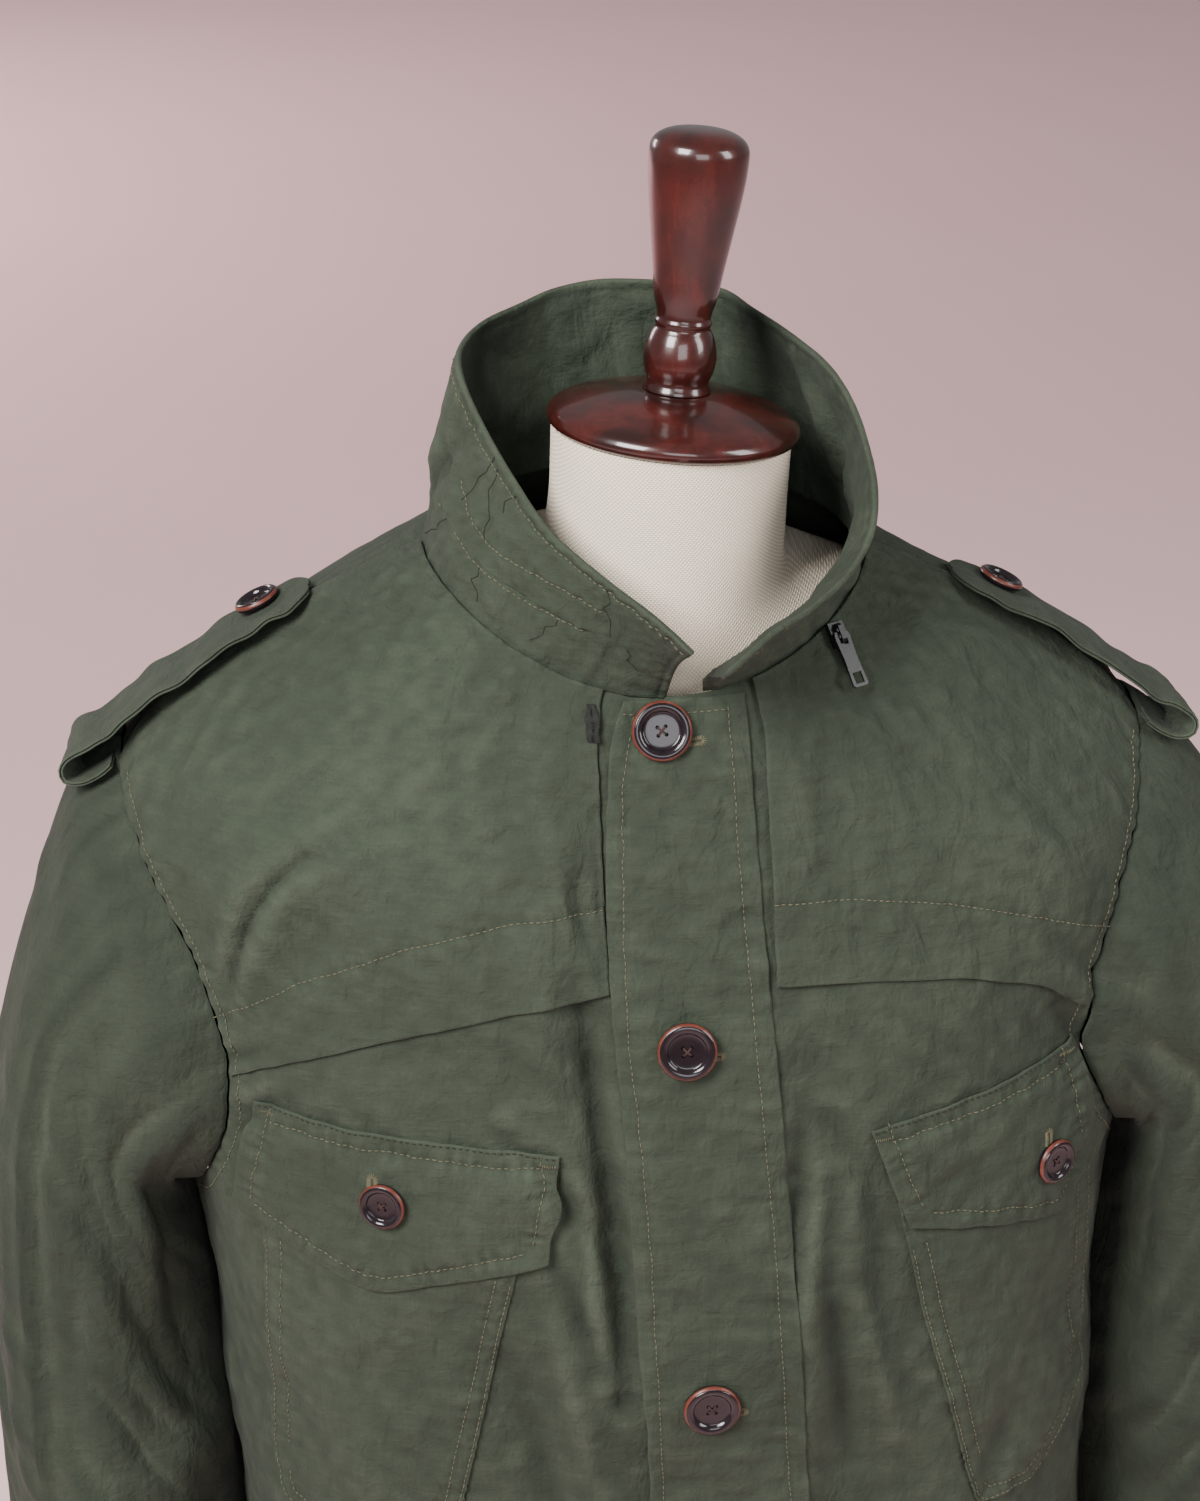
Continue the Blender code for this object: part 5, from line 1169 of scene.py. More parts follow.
def make_yokes():
    """Each yoke runs from the collar's seam and the shoulder's ridge to its free edge."""
    for name, side in SIDES:
        free = np.stack(locate(*np.array(YOKE_FREE[name]).T), -1)
        inner_x = YOKE_INNER_X[name]
        zs = np.linspace(1.186, YOKE_FREE[name][0][1], 10)
        inner = np.stack(locate(np.full(10, inner_x), zs), -1)
        inner[0, 1] = YOKE_BELOW
        shoulder = [(side * (math.pi / 2 - SEAM), v) for v in (YOKE_BELOW, 0.05, 0.10)]
        down = np.clip(((TIP_V + ARMPIT_V) / 2 - free[-1, 1]) / ((ARMPIT_V - TIP_V) / 2), -1, 1)
        hole = np.array([armhole(t, side) for t in np.linspace(0.12, math.acos(down), 10)])
        hole[:, 0] -= side * YOKE_SHORT / 0.17
        outer = np.concatenate([np.array(shoulder), hole])
        free[-1] = outer[-1]
        top = np.stack([np.linspace(inner[0, 0], shoulder[0][0], 12), np.full(12, YOKE_BELOW)], -1)
        grid = between(top[::side], free[::side], *(inner, outer)[::side], YOKE_STEP, (0.2, 1))
        theta, v = grid[..., 0], grid[..., 1]
        bare = bare_jacket(theta, v)

        def lift(x, z):
            return (YOKE_LAID + PATCH + sewn(x, z, (YOKE_STITCHES[name],))
                    + 0.0006 * curl(x, z, YOKE_FREE[name]))
        piece("yoke_" + name, on_jacket(theta, v, lift(bare[..., 0], bare[..., 2]))[0])
        sew_on("stitches_yoke", YOKE_STITCHES[name], lift)


def curl(x, z, edge, reach=0.006):
    """How a free edge lifts and sinks by turns along its length, from 0 in the cloth to 1."""
    away, at = follow(x, z, edge)
    return np.exp(-away / reach) * (0.5 + 0.5 * np.sin(at * 55 + 2.0 * np.sin(at * 19)))


def placket_lift(x, z):
    away, _ = follow(x, z, PLACKET_LEFT)
    stand = np.clip(1 - away / PLACKET_BEND, 0, 1) * np.clip((1.185 - z) / 0.05, 0, 1)
    lines = (inset(PLACKET_LEFT, -PLACKET_EDGE_STITCH), inset(PLACKET_RIGHT, WIDE_STITCH))
    waves = 0.0006 * crinkle(x, z, 61, 0.050) + 0.0003 * crinkle(x, z, 62, 0.018)
    middle = ease(away / 0.012)
    return LAID + PATCH + PLACKET_STAND * stand + sewn(x, z, lines) + waves * middle


def make_placket():
    top = np.array([(x, 1.1905 + (x + 0.0125) * -0.02) for x in np.linspace(-0.0125, 0.0435, 8)])
    bottom = np.array([(x, 0.461) for x in np.linspace(-0.0108, 0.0790, 8)])
    top[-1], bottom[-1] = PLACKET_RIGHT[0], PLACKET_RIGHT[-1]
    grid = between(top, bottom, softened(PLACKET_LEFT, 0.02), softened(PLACKET_RIGHT, 0.02),
                   PLACKET_STEP)
    front_piece("placket", grid, placket_lift)
    for line in (inset(PLACKET_LEFT, -PLACKET_EDGE_STITCH, (0.004, 0.001)),
                 inset(PLACKET_RIGHT, WIDE_STITCH, (0.004, 0.001)),
                 ((-0.0140, 1.1845), (0.0080, 1.1838), (0.0340, 1.1832))):
        sew_on("stitches_placket", line, placket_lift)
    for x, z in FRONT_BUTTONS:
        buttonhole((x + 0.0148, z + 0.0002), (1, 0), placket_lift)


def sew_short(starts, ends, lift):
    """Single short stitches from starts to ends, as (x, z) on a piece."""
    starts, ends = np.array(starts, float), np.array(ends, float)
    at = np.concatenate([starts, ends])
    points, normals = on_jacket(*locate(at[:, 0], at[:, 1]), lift(at[:, 0], at[:, 1]))
    for a, b, n in zip(points[:len(starts)], points[len(starts):], normals):
        length = float(np.linalg.norm(b - a))
        sew("buttonholes", np.array((a, b)), np.array((n, n)), length * 2, length, SHORT_RADIUS)


def buttonhole(start, way, lift):
    """Dense stitches on both sides of a slit, and a fan of them round its end."""
    start, way = np.array(start, float), np.array(way, float)
    across = np.array((-way[1], way[0]))
    starts, ends = [], []
    for s in np.linspace(0, BUTTONHOLE, BUTTONHOLE_THREADS):
        for side in (-1, 1):
            starts.append(start + way * s + across * side * 0.0002)
            ends.append(start + way * s + across * side * BUTTONHOLE_HALF)
    for a in np.linspace(-math.pi / 2, math.pi / 2, 7):
        starts.append(start + way * BUTTONHOLE)
        ends.append(start + way * (BUTTONHOLE + BUTTONHOLE_HALF * math.cos(a))
                    + across * BUTTONHOLE_HALF * math.sin(a))
    sew_short(starts, ends, lift)


def bar_tack(middle, lift):
    """A short level bar of threads laid side by side."""
    across = np.array((0, TACK_WIDTH / 2))
    spots = [np.array(middle) + (s, 0) for s in np.linspace(-TACK_LENGTH / 2, TACK_LENGTH / 2, 9)]
    sew_short([p - across for p in spots], [p + across for p in spots], lift)


def pocket_lines(name):
    """Two rows of stitches down each side of a pocket and along its bottom."""
    _, bottom, left, right = POCKET[name]
    rows = []
    for near in (0.0016, EDGE_STITCH):
        rows += [inset(left, -near, (0.0, near)), inset(right, near, (0.0, near)),
                 inset(bottom, -near, (near, near))]
    return rows


def make_pockets():
    for name in ("right", "left"):
        lines = pocket_lines(name)

        def lift(x, z):
            middle = np.mean([p[0] for p in POCKET[name][0]]) * 1.05
            bag = 0.0009 * np.exp(-((x - middle) / 0.035) ** 2)
            bag = bag * np.sin(np.pi * np.clip((0.95 - z) / 0.19, 0, 1))
            soft = 0.0005 * crinkle(x, z, 71 + len(name), 0.040) * inside(x, z, POCKET[name], 0.010)
            return LAID + PATCH + sewn(x, z, lines, 0.0006, 0.00032) + bag + soft
        grid = between(*(softened(line) for line in POCKET[name]), POCKET_STEP)
        front_piece("pocket_" + name, grid, lift)
        for line in lines:
            shown = np.array([p for p in line if p[1] < 0.935])
            if len(shown) > 1:
                sew_on("stitches_pocket", shown, lift)


def inside(x, z, borders, reach):
    """0 on a piece's borders, 1 from a distance in."""
    nearest = np.minimum.reduce([follow(x, z, line)[0] for line in borders])
    return ease(nearest / reach)


def make_flaps():
    for name in ("right", "left"):
        top, bottom, left, right = FLAP[name]
        down = unit(np.array((top[-1][1] - top[0][1], top[0][0] - top[-1][0])))
        lines = [inset(top, EDGE_STITCH, (EDGE_STITCH, EDGE_STITCH)),
                 inset(bottom, -EDGE_STITCH, (EDGE_STITCH, EDGE_STITCH)),
                 inset(left, -EDGE_STITCH, (0, EDGE_STITCH)), inset(right, EDGE_STITCH, (0, EDGE_STITCH))]
        bx, bz = FLAP_BUTTON[name]

        def lift(x, z):
            below = ((x - top[0][0]) * down[0] + (z - top[0][1]) * down[1]) / FLAP_HANG
            over = (PATCH + LAID) * ease(below)
            stand = 0.0016 * ease(below / 2) * sum(curl(x, z, line, 0.007) for line in (left, right))
            belly = 0.0007 * crinkle(x, z, 81 + len(name), 0.045) * inside(x, z, FLAP[name], 0.012)
            away = np.hypot(x - bx, z - bz)
            held = -0.0006 * np.exp(-(away / 0.010) ** 2)
            rays = 0.0003 * np.sin(9 * np.arctan2(z - bz, x - bx)) * np.exp(-((away - 0.017) / 0.007) ** 2)
            return (LAID + PATCH + 0.0004 + over + stand + belly + held + rays
                    + sewn(x, z, lines, 0.00065, 0.00050))
        grid = between(*(softened(line) for line in FLAP[name]), FLAP_STEP)
        front_piece("pocket_flap_" + name, grid, lift)
        for line in lines:
            sew_on("stitches_flap", line, lift)
        sew_on("stitches_flap_dark", inset(top, 0.0016, (0.001, 0.001)), lift)
        for (x, z), side in ((top[0], 1), (top[-1], -1)):
            bar_tack((x + side * TACK_IN, z - TACK_DOWN), lift)
        buttonhole((bx, bz + 0.0128), (0, 1), lift)


make_yokes()
make_placket()
make_pockets()
make_flaps()


# ------------------------------------------------------------------ shoulder straps
STRAP_TOP = ((0.156, 0.0004), (0.164, 0.0008), (0.180, 0.0022), (0.200, 0.0036),
             (0.220, 0.0034), (0.238, 0.0050))
STRAP_FOLD = ((0.010, 0.0046), (0.020, 0.0000), (0.0262, -0.0062), (0.0256, -0.0118),
              (0.019, -0.0128), (0.011, -0.0088), (0.0045, -0.0040))
STRAP_MIDDLE_Y, STRAP_EDGE, STRAP_STITCH = 0.006, 0.0009, 0.0062
STRAP_HALF_WIDTH = (0.0225, 0.0265)
STRAP_LAYER, STRAP_LAYER_GAP = 0.0011, 0.0003
STRAP_STEP, STRAP_POINT = 0.0022, 0.013


def strap_path(side):
    """Middle line of a strap's underside as (x, z) and its length, then its folded end."""
    ridge_v = np.linspace(0, TIP_V, 60)
    ridge = jacket(np.full(60, side * math.pi / 2), ridge_v)
    behind = jacket(np.full(60, side * math.radians(100)), ridge_v)
    height = np.maximum(ridge[:, 2] + PATCH + YOKE_LAID, behind[:, 2])
    stations = [(x, float(np.interp(x, abs(ridge[:, 0]), height)) + over) for x, over in STRAP_TOP]
    tip_x, tip_z = abs(ridge[-1, 0]), ridge[-1, 2]
    stations += [(tip_x + x, tip_z + z) for x, z in STRAP_FOLD]
    stations = np.array(stations)
    run = run_of(stations)
    at = spaced(run[-1], STRAP_STEP)
    return np.stack([smooth(run, stations[:, k], at) for k in (0, 1)], -1), at


def strap_points(side, low, shrink):
    """Grid of a strap's layer, low over its underside; shrink narrows it."""
    path, at = strap_path(side)
    ahead = unit(np.gradient(path, axis=0))
    normal = np.stack([-ahead[:, 1], ahead[:, 0]], -1)
    half = np.interp(at, (0, at[-1]), STRAP_HALF_WIDTH) - shrink
    half = half * (0.34 + 0.66 * np.sin(np.clip(at / STRAP_POINT, 0, 1) * math.pi / 2) ** 0.8)
    across = np.concatenate([[-1, -0.985, -0.955, -0.91], np.linspace(-0.86, 0.86, 24),
                             [0.91, 0.955, 0.985, 1]])
    y = half[:, None] * across[None, :]
    wave = (0.00055 * crinkle(np.repeat(at[:, None], len(across), 1), y, 91 + side, 0.028)
            + 0.0003 * np.sin(at[:, None] * 260 + 3 * np.sin(at[:, None] * 50)) * across**4)
    stitch = -0.0003 * np.exp(-((np.abs(y) - (half[:, None] - STRAP_STITCH)) / 0.001) ** 2)
    up = low + wave * ease(at / 0.02)[:, None] + (stitch if low > STRAP_LAYER else 0)
    points = np.empty(y.shape + (3,))
    points[..., 0] = side * (path[:, None, 0] + normal[:, None, 0] * up)
    points[..., 1] = STRAP_MIDDLE_Y + y
    points[..., 2] = path[:, None, 1] + normal[:, None, 1] * up
    return points, y, half, at


def make_straps():
    """Two layers each; the upper one has a row of stitches down both sides."""
    for name, side in SIDES:
        name = "strap_" + name
        upper, y, half, at = strap_points(side, 2 * STRAP_LAYER + STRAP_LAYER_GAP, 0.0004)
        under, *_ = strap_points(side, STRAP_LAYER, 0)
        for part, layer, shown in ((name, upper, True), (name + "_under", under, False)):
            mesh = cloth_shell(part, layer[:, ::side], STRAP_LAYER, STRAP_EDGE)
            cloth(part, mesh, name, shown=shown)
        for row in (-1, 1):
            line = np.array([[np.interp(row * (half[k] - STRAP_STITCH), y[k], upper[k, :, c])
                              for c in range(3)] for k in range(3, len(at) - 2)])
            ups = unit(np.cross(np.gradient(line, axis=0), (0, 1.0, 0)) * -side)
            sew("stitches_strap", line, ups)


make_straps()


# ------------------------------------------------------------------ rows along seams and hems
ARMHOLE_STITCH = 0.0075   # from the armhole's seam to its row of stitches
HEM_STITCH, CUFF_STITCH = 0.022, 0.020


def sew_seams():
    """Rows of stitches round the armholes, along the hem and round the cuffs."""
    out = 1 + ARMHOLE_STITCH / ARMHOLE_RADIUS
    for name, side in SIDES:
        for way in (1, -1):
            theta, v = armhole(way * np.linspace(0.30, 2.85, 240), side, out)
            points, normals = on_jacket(theta, v, 0 * v)
            if way > 0:
                free_x, free_z = np.array(sorted(YOKE_FREE[name])).T
                on_yoke = points[:, 2] > np.interp(points[:, 0], free_x, free_z) + 0.001
                above = points + normals * (YOKE_LAID + PATCH)
                for rows, where in ((on_yoke, above), (~on_yoke, points)):
                    sew("stitches_armhole", where[rows], normals[rows])
            else:
                sew("stitches_armhole", points, normals)
        turn = np.linspace(0, 2 * math.pi, 300)
        w = np.full(300, SLEEVE_LENGTH - CUFF_STITCH)
        points = sleeve(w, turn, side)
        normals = surface_normal(lambda t, k, side=side: bare_sleeve(k, t, side), turn, w) * -side
        sew("stitches_cuff", points, normals)
    for first, last in ((-88, -9), (15, 88), (92, 268)):
        theta = np.radians(np.linspace(first, last, int((last - first) * 3.2)))
        points, normals = on_jacket(theta, np.full(theta.shape, HEM_V - HEM_STITCH), 0 * theta)
        sew("stitches_hem", points, normals)


sew_seams()


# ------------------------------------------------------------------ buttons
LARGE_BUTTON, SMALL_BUTTON = 0.028, 0.023
BUTTON_PROFILE = (        # share of the radius and height, from the middle of the dish outwards
    (0.00, 0.0022), (0.30, 0.0022), (0.56, 0.0023), (0.62, 0.0026), (0.66, 0.0033), (0.71, 0.0039),
    (0.78, 0.0043), (0.84, 0.0044), (0.895, 0.0042), (0.90, 0.00405), (0.95, 0.0036), (0.985, 0.0030),
    (1.00, 0.0023), (0.995, 0.0014), (0.95, 0.0006), (0.90, 0.0002), (0.88, 0.0000), (0.00, 0.0000))
RIM_FROM = 0.935          # beyond this share of the radius the rim is red-brown
HOLE_RADIUS, HOLE_OFF = 0.00092, 0.00190
THREAD_LOW, THREAD_ARCH, THREAD_RADIUS = 0.0018, 0.0011, 0.00022     # through the holes
BUTTON_TURNS = {"button_1": 4, "button_2": 0, "button_3": -3, "pocket_button_left": 8}


def turned_mesh(name, profile, sides, fine=1):
    """A body of revolution through (radius, height) points, top middle to bottom middle."""
    profile = np.array(profile, float)
    if fine > 1:
        run = run_of(profile)
        at = [np.linspace(a, b, fine, endpoint=False) for a, b in zip(run, run[1:])] + [run[-1:]]
        at = np.concatenate(at)
        profile = np.stack([smooth(run, profile[:, k], at) for k in (0, 1)], -1)
        profile[:, 0] = np.maximum(profile[:, 0], 0)
    bm = bmesh.new()
    rings = []
    for r, z in profile:
        if r < 1e-6:
            rings.append([bm.verts.new((0, 0, z))])
        else:
            rings.append([bm.verts.new((r * math.cos(a), r * math.sin(a), z))
                          for a in np.arange(sides) * 2 * math.pi / sides])
    for a, b in zip(rings, rings[1:]):
        for k in range(sides):
            after = (k + 1) % sides
            if len(a) == 1 and len(b) > 1:
                bm.faces.new((a[0], b[k], b[after]))
            elif len(b) == 1 and len(a) > 1:
                bm.faces.new((a[after], a[k], b[0]))
            elif len(a) > 1:
                bm.faces.new((a[k], b[k], b[after], a[after]))
    mesh = bpy.data.meshes.new(name)
    bmesh.ops.recalc_face_normals(bm, faces=bm.faces[:])
    bm.to_mesh(mesh)
    bm.free()
    return mesh


def button_mesh(width):
    """A dished button with a rim and four holes drilled through."""
    r = width / 2
    mesh = turned_mesh("button_%d" % round(width * 1000), [(a * r, z) for a, z in BUTTON_PROFILE], 72, 2)
    body = linked("drilled", mesh)
    drills = []
    scale = width / LARGE_BUTTON
    for k in range(4):
        angle = math.pi / 4 + k * math.pi / 2
        bm = bmesh.new()
        bmesh.ops.create_cone(bm, cap_ends=True, segments=20, radius1=HOLE_RADIUS * scale,
                              radius2=HOLE_RADIUS * scale, depth=0.012)
        drill_mesh = bpy.data.meshes.new("drill")
        bm.to_mesh(drill_mesh)
        bm.free()
        drill = linked("drill", drill_mesh)
        off = HOLE_OFF * scale * math.sqrt(2)
        drill.location = (off * math.cos(angle), off * math.sin(angle), 0.002)
        cut = body.modifiers.new("hole", "BOOLEAN")
        cut.object, cut.operation = drill, "DIFFERENCE"
        drills.append(drill)
    bpy.context.view_layer.update()
    made = bpy.data.meshes.new_from_object(body.evaluated_get(bpy.context.evaluated_depsgraph_get()))
    for thing in drills + [body]:
        bpy.data.objects.remove(thing)
    made.shade_smooth()
    made.set_sharp_from_angle(angle=math.radians(38))
    made.materials.append(HORN)
    made.materials.append(RIM)
    for face in made.polygons:
        face.material_index = int(math.hypot(face.center.x, face.center.y) > RIM_FROM * r
                                  and face.normal.z > 0.1)
    return made


def seat_of(node):
    """Middle of a button's underside, and the way it faces, from its solid."""
    points = np.array([v.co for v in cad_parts[node].data.vertices])
    middle = points.mean(0)
    axis = np.linalg.svd(points - middle, full_matrices=False)[2][-1]
    if axis @ (middle - np.array((middle[0] * 0.9, 0.0, 0.9))) < 0:
        axis = -axis
    heights = (points - middle) @ axis
    low = points[heights < heights.min() + 0.0001]
    return low.mean(0), axis


def make_buttons():
    large, small = button_mesh(LARGE_BUTTON), button_mesh(SMALL_BUTTON)
    for k in range(len(FRONT_BUTTONS)):
        set_button("button_%d" % (k + 1), large, LARGE_BUTTON)
    for side in ("right", "left"):
        set_button("pocket_button_" + side, small, SMALL_BUTTON)
        set_button("strap_button_" + side, small, SMALL_BUTTON)


def set_button(node, mesh, width):
    """One button in its solid's place, sewn on through its holes."""
    base, axis = seat_of(node)
    spin = Matrix.Rotation(math.radians(BUTTON_TURNS.get(node, 0)), 3, "Z")
    matrix = (Vector(axis).to_track_quat("Z", "Y").to_matrix() @ spin).to_4x4()
    matrix.translation = Vector(base)
    thing = linked(node + "_dished", mesh)
    thing.matrix_world = matrix
    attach(thing, BODY)
    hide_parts(node)
    off = HOLE_OFF * (width / LARGE_BUTTON)
    for a, b in (((-off, -off), (off, off)), ((-off, off), (off, -off))):
        way = unit(np.array(b) - np.array(a))
        for shift in (-0.0003, 0.0, 0.0003):
            line = []
            for t in np.linspace(0, 1, 9):
                x = a[0] + (b[0] - a[0]) * t - way[1] * shift
                y = a[1] + (b[1] - a[1]) * t + way[0] * shift
                z = THREAD_LOW + THREAD_ARCH * math.sin(math.pi * t) ** 0.6
                line.append(matrix @ Vector((x, y, z)))
            strand(np.array(line), np.tile(axis, (9, 1)))


STRANDS = []


def strand(points, normals, sides=6):
    """A thread along points, kept until the strands are joined."""
    ahead = unit(np.gradient(points, axis=0))
    side = unit(np.cross(normals, ahead))
    up = np.cross(ahead, side)
    angles = np.arange(sides) * 2 * math.pi / sides
    ring = (side[:, None] * np.cos(angles)[None, :, None] + up[:, None] * np.sin(angles)[None, :, None])
    STRANDS.append(points[:, None] + ring * THREAD_RADIUS)


def join_strands():
    """The threads that hold the buttons, as one mesh."""
    verts, faces, start = [], [], 0
    for tube in STRANDS:
        rows, sides = tube.shape[:2]
        verts.append(tube.reshape(-1, 3))
        faces += (grid_faces(rows, sides, True) + start).tolist()
        faces.append([start + k for k in range(sides)])
        faces.append([start + (rows - 1) * sides + k for k in range(sides)][::-1])
        start += rows * sides
    mesh = mesh_of("button_threads", np.concatenate(verts), faces)
    show("button_threads", mesh, BUTTON_THREAD)


make_buttons()

# ------------------------------------------------------------------ the form
CAP_CENTRE = Vector((0.021, -0.010, 1.300))
NECK_TILT = math.radians(6.8)
CAP_WIDTH, CAP_RISE, CAP_DEPTH, FINIAL_HEIGHT = 0.120, 0.013, 0.0068, 0.1215
FORM_BOTTOM, FORM_GAP = 0.575, 0.0005
FOOT_WIDTH, FOOT_HEIGHT, POLE_WIDTH = 0.380, 0.028, 0.032
NECK_TOP = (CAP_CENTRE.z + CAP_CENTRE.x * math.tan(NECK_TILT)
            - (CAP_DEPTH + SEAM) / math.cos(NECK_TILT))
NECK = (
    (-0.0660, NECK_TOP, 0.0565, -0.010, NECK_TOP, 0.046, NECK_TOP, 2.0, 2.0, 0.0195,
     math.tan(NECK_TILT)),
    (-0.0670, 1.255, 0.0565, -0.010, 1.258, 0.048, 1.262, 2.0, 2.0, 0.0165, 0.100),
    (-0.0690, 1.218, 0.0600, -0.009, 1.236, 0.052, 1.248, 2.0, 2.0, 0.0130, 0.080),
    (-0.0740, 1.192, 0.0760, -0.006, 1.226, 0.059, 1.239, 2.0, 2.0, 0.0100, 0.070),
    (-0.0830, 1.176, 0.1000, -0.002, 1.217, 0.067, 1.235, 2.0, 2.0, 0.0060, 0.055),
)
SHOULDER_ROWS, SHOULDER_UNDER = (0.070, 0.080, 0.090, 0.100, 0.110), 0.0050
TRUNK = (
    (-0.113, 1.094, 0.238, 0.008, 1.138, 0.106, 1.145, 2.0, 2.0, -0.003, 0.018),
    (-0.117, 1.060, 0.238, 0.008, 1.095, 0.110, 1.095, 2.0, 2.1, 0.000, 0.012),
    (-0.119, 1.020, 0.222, 0.008, 1.035, 0.111, 1.035, 2.1, 2.2, 0.000, 0.006),
    (-0.122, 0.965, 0.192, 0.006, 0.975, 0.108, 0.975, 2.2, 2.4, 0.000, 0.000),
    (-0.119, 0.880, 0.170, 0.002, 0.880, 0.098, 0.880, 2.2, 2.3, 0.000, 0.000),
    (-0.106, 0.770, 0.158, 0.000, 0.770, 0.086, 0.770, 2.2, 2.3, 0.000, 0.000),
    (-0.106, 0.670, 0.168, 0.000, 0.670, 0.096, 0.670, 2.2, 2.3, 0.000, 0.000),
    (-0.108, 0.600, 0.176, 0.000, 0.600, 0.108, 0.600, 2.2, 2.3, 0.000, 0.000),
    (-0.098, FORM_BOTTOM, 0.166, 0.000, FORM_BOTTOM, 0.098, FORM_BOTTOM, 2.2, 2.3, 0.0, 0.0),
)
FORM_SIDES, BETWEEN_RINGS = 112, 6


def finer_rings(table):
    """Rings of a table with smooth ones between them."""
    table = np.array(table)
    at = np.linspace(0, len(table) - 1, (len(table) - 1) * BETWEEN_RINGS + 1)
    columns = [smooth(np.arange(len(table)), table[:, k], at) for k in range(table.shape[1])]
    turn = np.linspace(0, 2 * math.pi, FORM_SIDES, endpoint=False)
    return [ring_point(dict(zip(RING, row)), turn) for row in zip(*columns)]


def make_form():
    turn = np.linspace(0, 2 * math.pi, FORM_SIDES, endpoint=False)
    rings = finer_rings(NECK)
    off_the_ridge = np.minimum(np.abs(np.cos(turn)) / 0.2, 1)
    for v in SHOULDER_ROWS:
        vs = np.full_like(turn, v)
        depth = CLOTH + FORM_GAP + SHOULDER_UNDER * off_the_ridge
        rings.append(jacket(turn, vs) - jacket_normal(turn, vs) * depth[:, None])
    rings = np.array(rings + finer_rings(TRUNK))
    count, sides = rings.shape[:2]
    verts = np.concatenate([rings.reshape(-1, 3), rings[:1].mean(1), rings[-1:].mean(1)])
    faces = grid_faces(count, sides, True).tolist()
    last = (count - 1) * sides
    for k in range(sides):
        after = (k + 1) % sides
        faces += [(count * sides, k, after), (count * sides + 1, last + after, last + k)]
    mesh = mesh_of("form", verts, faces)
    mesh.set_sharp_from_angle(angle=math.radians(50))
    show("form", mesh, LINEN, ("dress_form",))


def make_stand():
    """The turned cap and finial on the neck, and the pole and foot below."""
    r, h = CAP_WIDTH / 2, FINIAL_HEIGHT
    leaning = Matrix.Translation(CAP_CENTRE) @ Matrix.Rotation(NECK_TILT, 4, "Y")
    wood("cap_turned", "neck_cap", (
        (0, CAP_RISE), (0.018, CAP_RISE), (0.42 * r, 0.0121), (0.60 * r, 0.0098), (0.86 * r, 0.0050),
        (0.93 * r, 0.0032), (0.97 * r, 0.0016), (r, -0.0016), (0.985 * r, -0.0048),
        (0.93 * r, -CAP_DEPTH), (0, -CAP_DEPTH)), leaning)
    wood("finial_turned", "finial", (
        (0, h), (0.008, h - 0.0003), (0.0145, h - 0.0014), (0.0195, h - 0.0038), (0.0222, h - 0.0070),
        (0.0230, h - 0.0115), (0.0222, 0.096), (0.0188, 0.072), (0.0164, 0.0560), (0.0148, 0.044),
        (0.0126, 0.0350), (0.0134, 0.0325), (0.0128, 0.0300), (0.0145, 0.0270), (0.0160, 0.0228),
        (0.0172, 0.0160), (0.0164, 0.0095), (0.0146, 0.0045), (0.0160, 0.0004), (0.0158, 0.0), (0, 0)),
        leaning @ Matrix.Translation((0, 0, CAP_RISE + SEAM)))
    low, high, w = FOOT_HEIGHT + SEAM, FORM_BOTTOM - SEAM, POLE_WIDTH / 2
    wood("pole_turned", "pole", ((0, high), (w - 0.001, high), (w, high - 0.001), (w, low + 0.001),
                                 (w - 0.001, low), (0, low)), fine=1)
    r = FOOT_WIDTH / 2
    wood("foot_turned", "foot", (
        (0, FOOT_HEIGHT), (0.34 * r, FOOT_HEIGHT), (0.56 * r, FOOT_HEIGHT * 0.88),
        (0.80 * r, FOOT_HEIGHT * 0.72), (0.95 * r, FOOT_HEIGHT * 0.62), (r, FOOT_HEIGHT * 0.40),
        (r, FOOT_HEIGHT * 0.16), (0.985 * r, 0), (0, 0)), fine=1)


def wood(name, node, profile, matrix=Matrix(), fine=3):
    """A turned and polished piece in its solid's place."""
    mesh = turned_mesh(name, profile, 96, fine)
    mesh.transform(matrix)
    mesh.shade_smooth()
    mesh.set_sharp_from_angle(angle=math.radians(40))
    show(name, mesh, MAHOGANY, (node,))


make_form()
make_stand()

# ------------------------------------------------------------------ zip and hook tape
BEVEL = 0.00035


def make_zip():
    """The slider and its pull keep their solids; their edges are rounded."""
    for name in ("zip_slider", "zip_pull"):
        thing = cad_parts[name]
        thing.data.materials.clear()
        thing.data.materials.append(METAL)
        rounding = thing.modifiers.new("edges", "BEVEL")
        rounding.width, rounding.segments = BEVEL, 3
        rounding.limit_method, rounding.angle_limit = "ANGLE", math.radians(40)


TAPE = (((-0.0300, 1.189), (-0.0242, 1.189)), ((-0.0300, 1.173), (-0.0242, 1.173)),
        ((-0.0300, 1.189), (-0.0300, 1.173)), ((-0.0242, 1.189), (-0.0242, 1.173)))


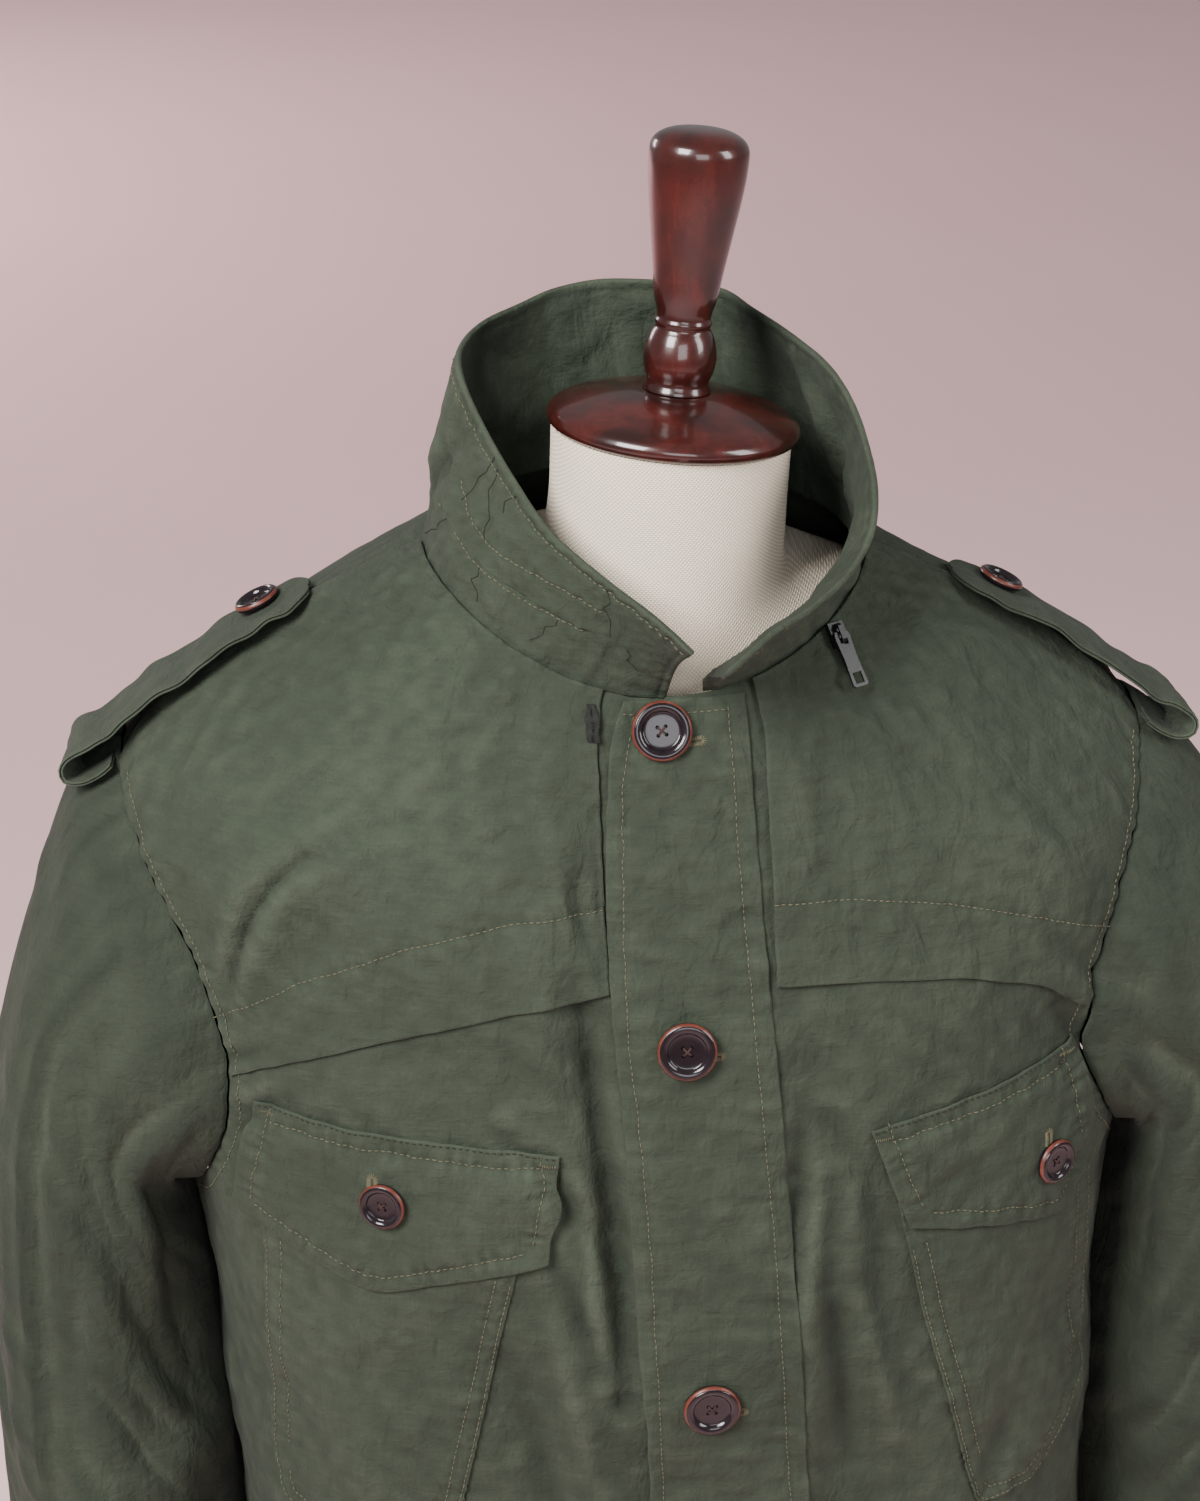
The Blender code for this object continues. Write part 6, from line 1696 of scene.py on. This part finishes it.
def make_tape():
    """A fuzzy end of hook tape that looks out from under the placket."""
    grid = between(*(np.array(line) for line in TAPE), 0.0005)
    x, z = grid[..., 0], grid[..., 1]
    loops = 0.00016 * crinkle(x, z, 55, 0.0014, 18)
    points, _ = on_jacket(*locate(x, z), YOKE_LAID + PATCH + SEAM + 0.001 + loops)
    mesh = cloth_shell("hook_tape", points, 0.001, 0.0006)
    thing = show("hook_tape_loops", mesh, TAPE_CLOTH, ("hook_tape",))


make_zip()
make_tape()


# ------------------------------------------------------------------ the studio
def area_light(name, place, towards, size, power, colour):
    light = bpy.data.lights.new(name, "AREA")
    light.shape = "RECTANGLE"
    light.size, light.size_y = size
    light.energy = power
    light.color = colour
    lamp = linked(name, light)
    lamp.location = place
    lamp.rotation_euler = (Vector(towards) - Vector(place)).to_track_quat("-Z", "Y").to_euler()


def make_studio():
    """Pale warm floor, a soft box high on the left, weaker ones on the right, in front and behind."""
    world = bpy.data.worlds.new("studio")
    bpy.context.scene.world = world
    world.use_nodes = True
    background = world.node_tree.nodes["Background"]
    background.inputs["Color"].default_value = (0.93, 0.94, 0.95, 1)
    background.inputs["Strength"].default_value = 0.36
    area_light("key", (-1.35, -1.55, 2.75), (0, 0, 1.0), (1.1, 1.3), 205, (1.0, 0.99, 0.965))
    area_light("side", (1.9, -0.9, 2.0), (0.05, 0, 1.05), (0.7, 1.3), 45, (1.0, 0.98, 0.96))
    area_light("front", (0.20, -3.1, 2.05), (0.0, 0, 1.10), (1.6, 1.3), 46, (0.95, 0.97, 1.0))
    area_light("floor", (-5.4, 7.0, 3.4), (-2.2, 7.6, 0), (3.0, 3.0), 560, (1.0, 0.80, 0.82))
    bm = bmesh.new()
    bmesh.ops.create_grid(bm, x_segments=8, y_segments=8, size=14)
    mesh = bpy.data.meshes.new("floor")
    bm.to_mesh(mesh)
    bm.free()
    mesh.materials.append(clouded("floor", 1.2, (0.80, 0.545, 0.55), (0.84, 0.58, 0.58), 3.0, 0.55,
                                  Roughness=0.9, Specular_IOR_Level=0.1))
    linked("floor", mesh)


join_stitches()
join_strands()
make_studio()
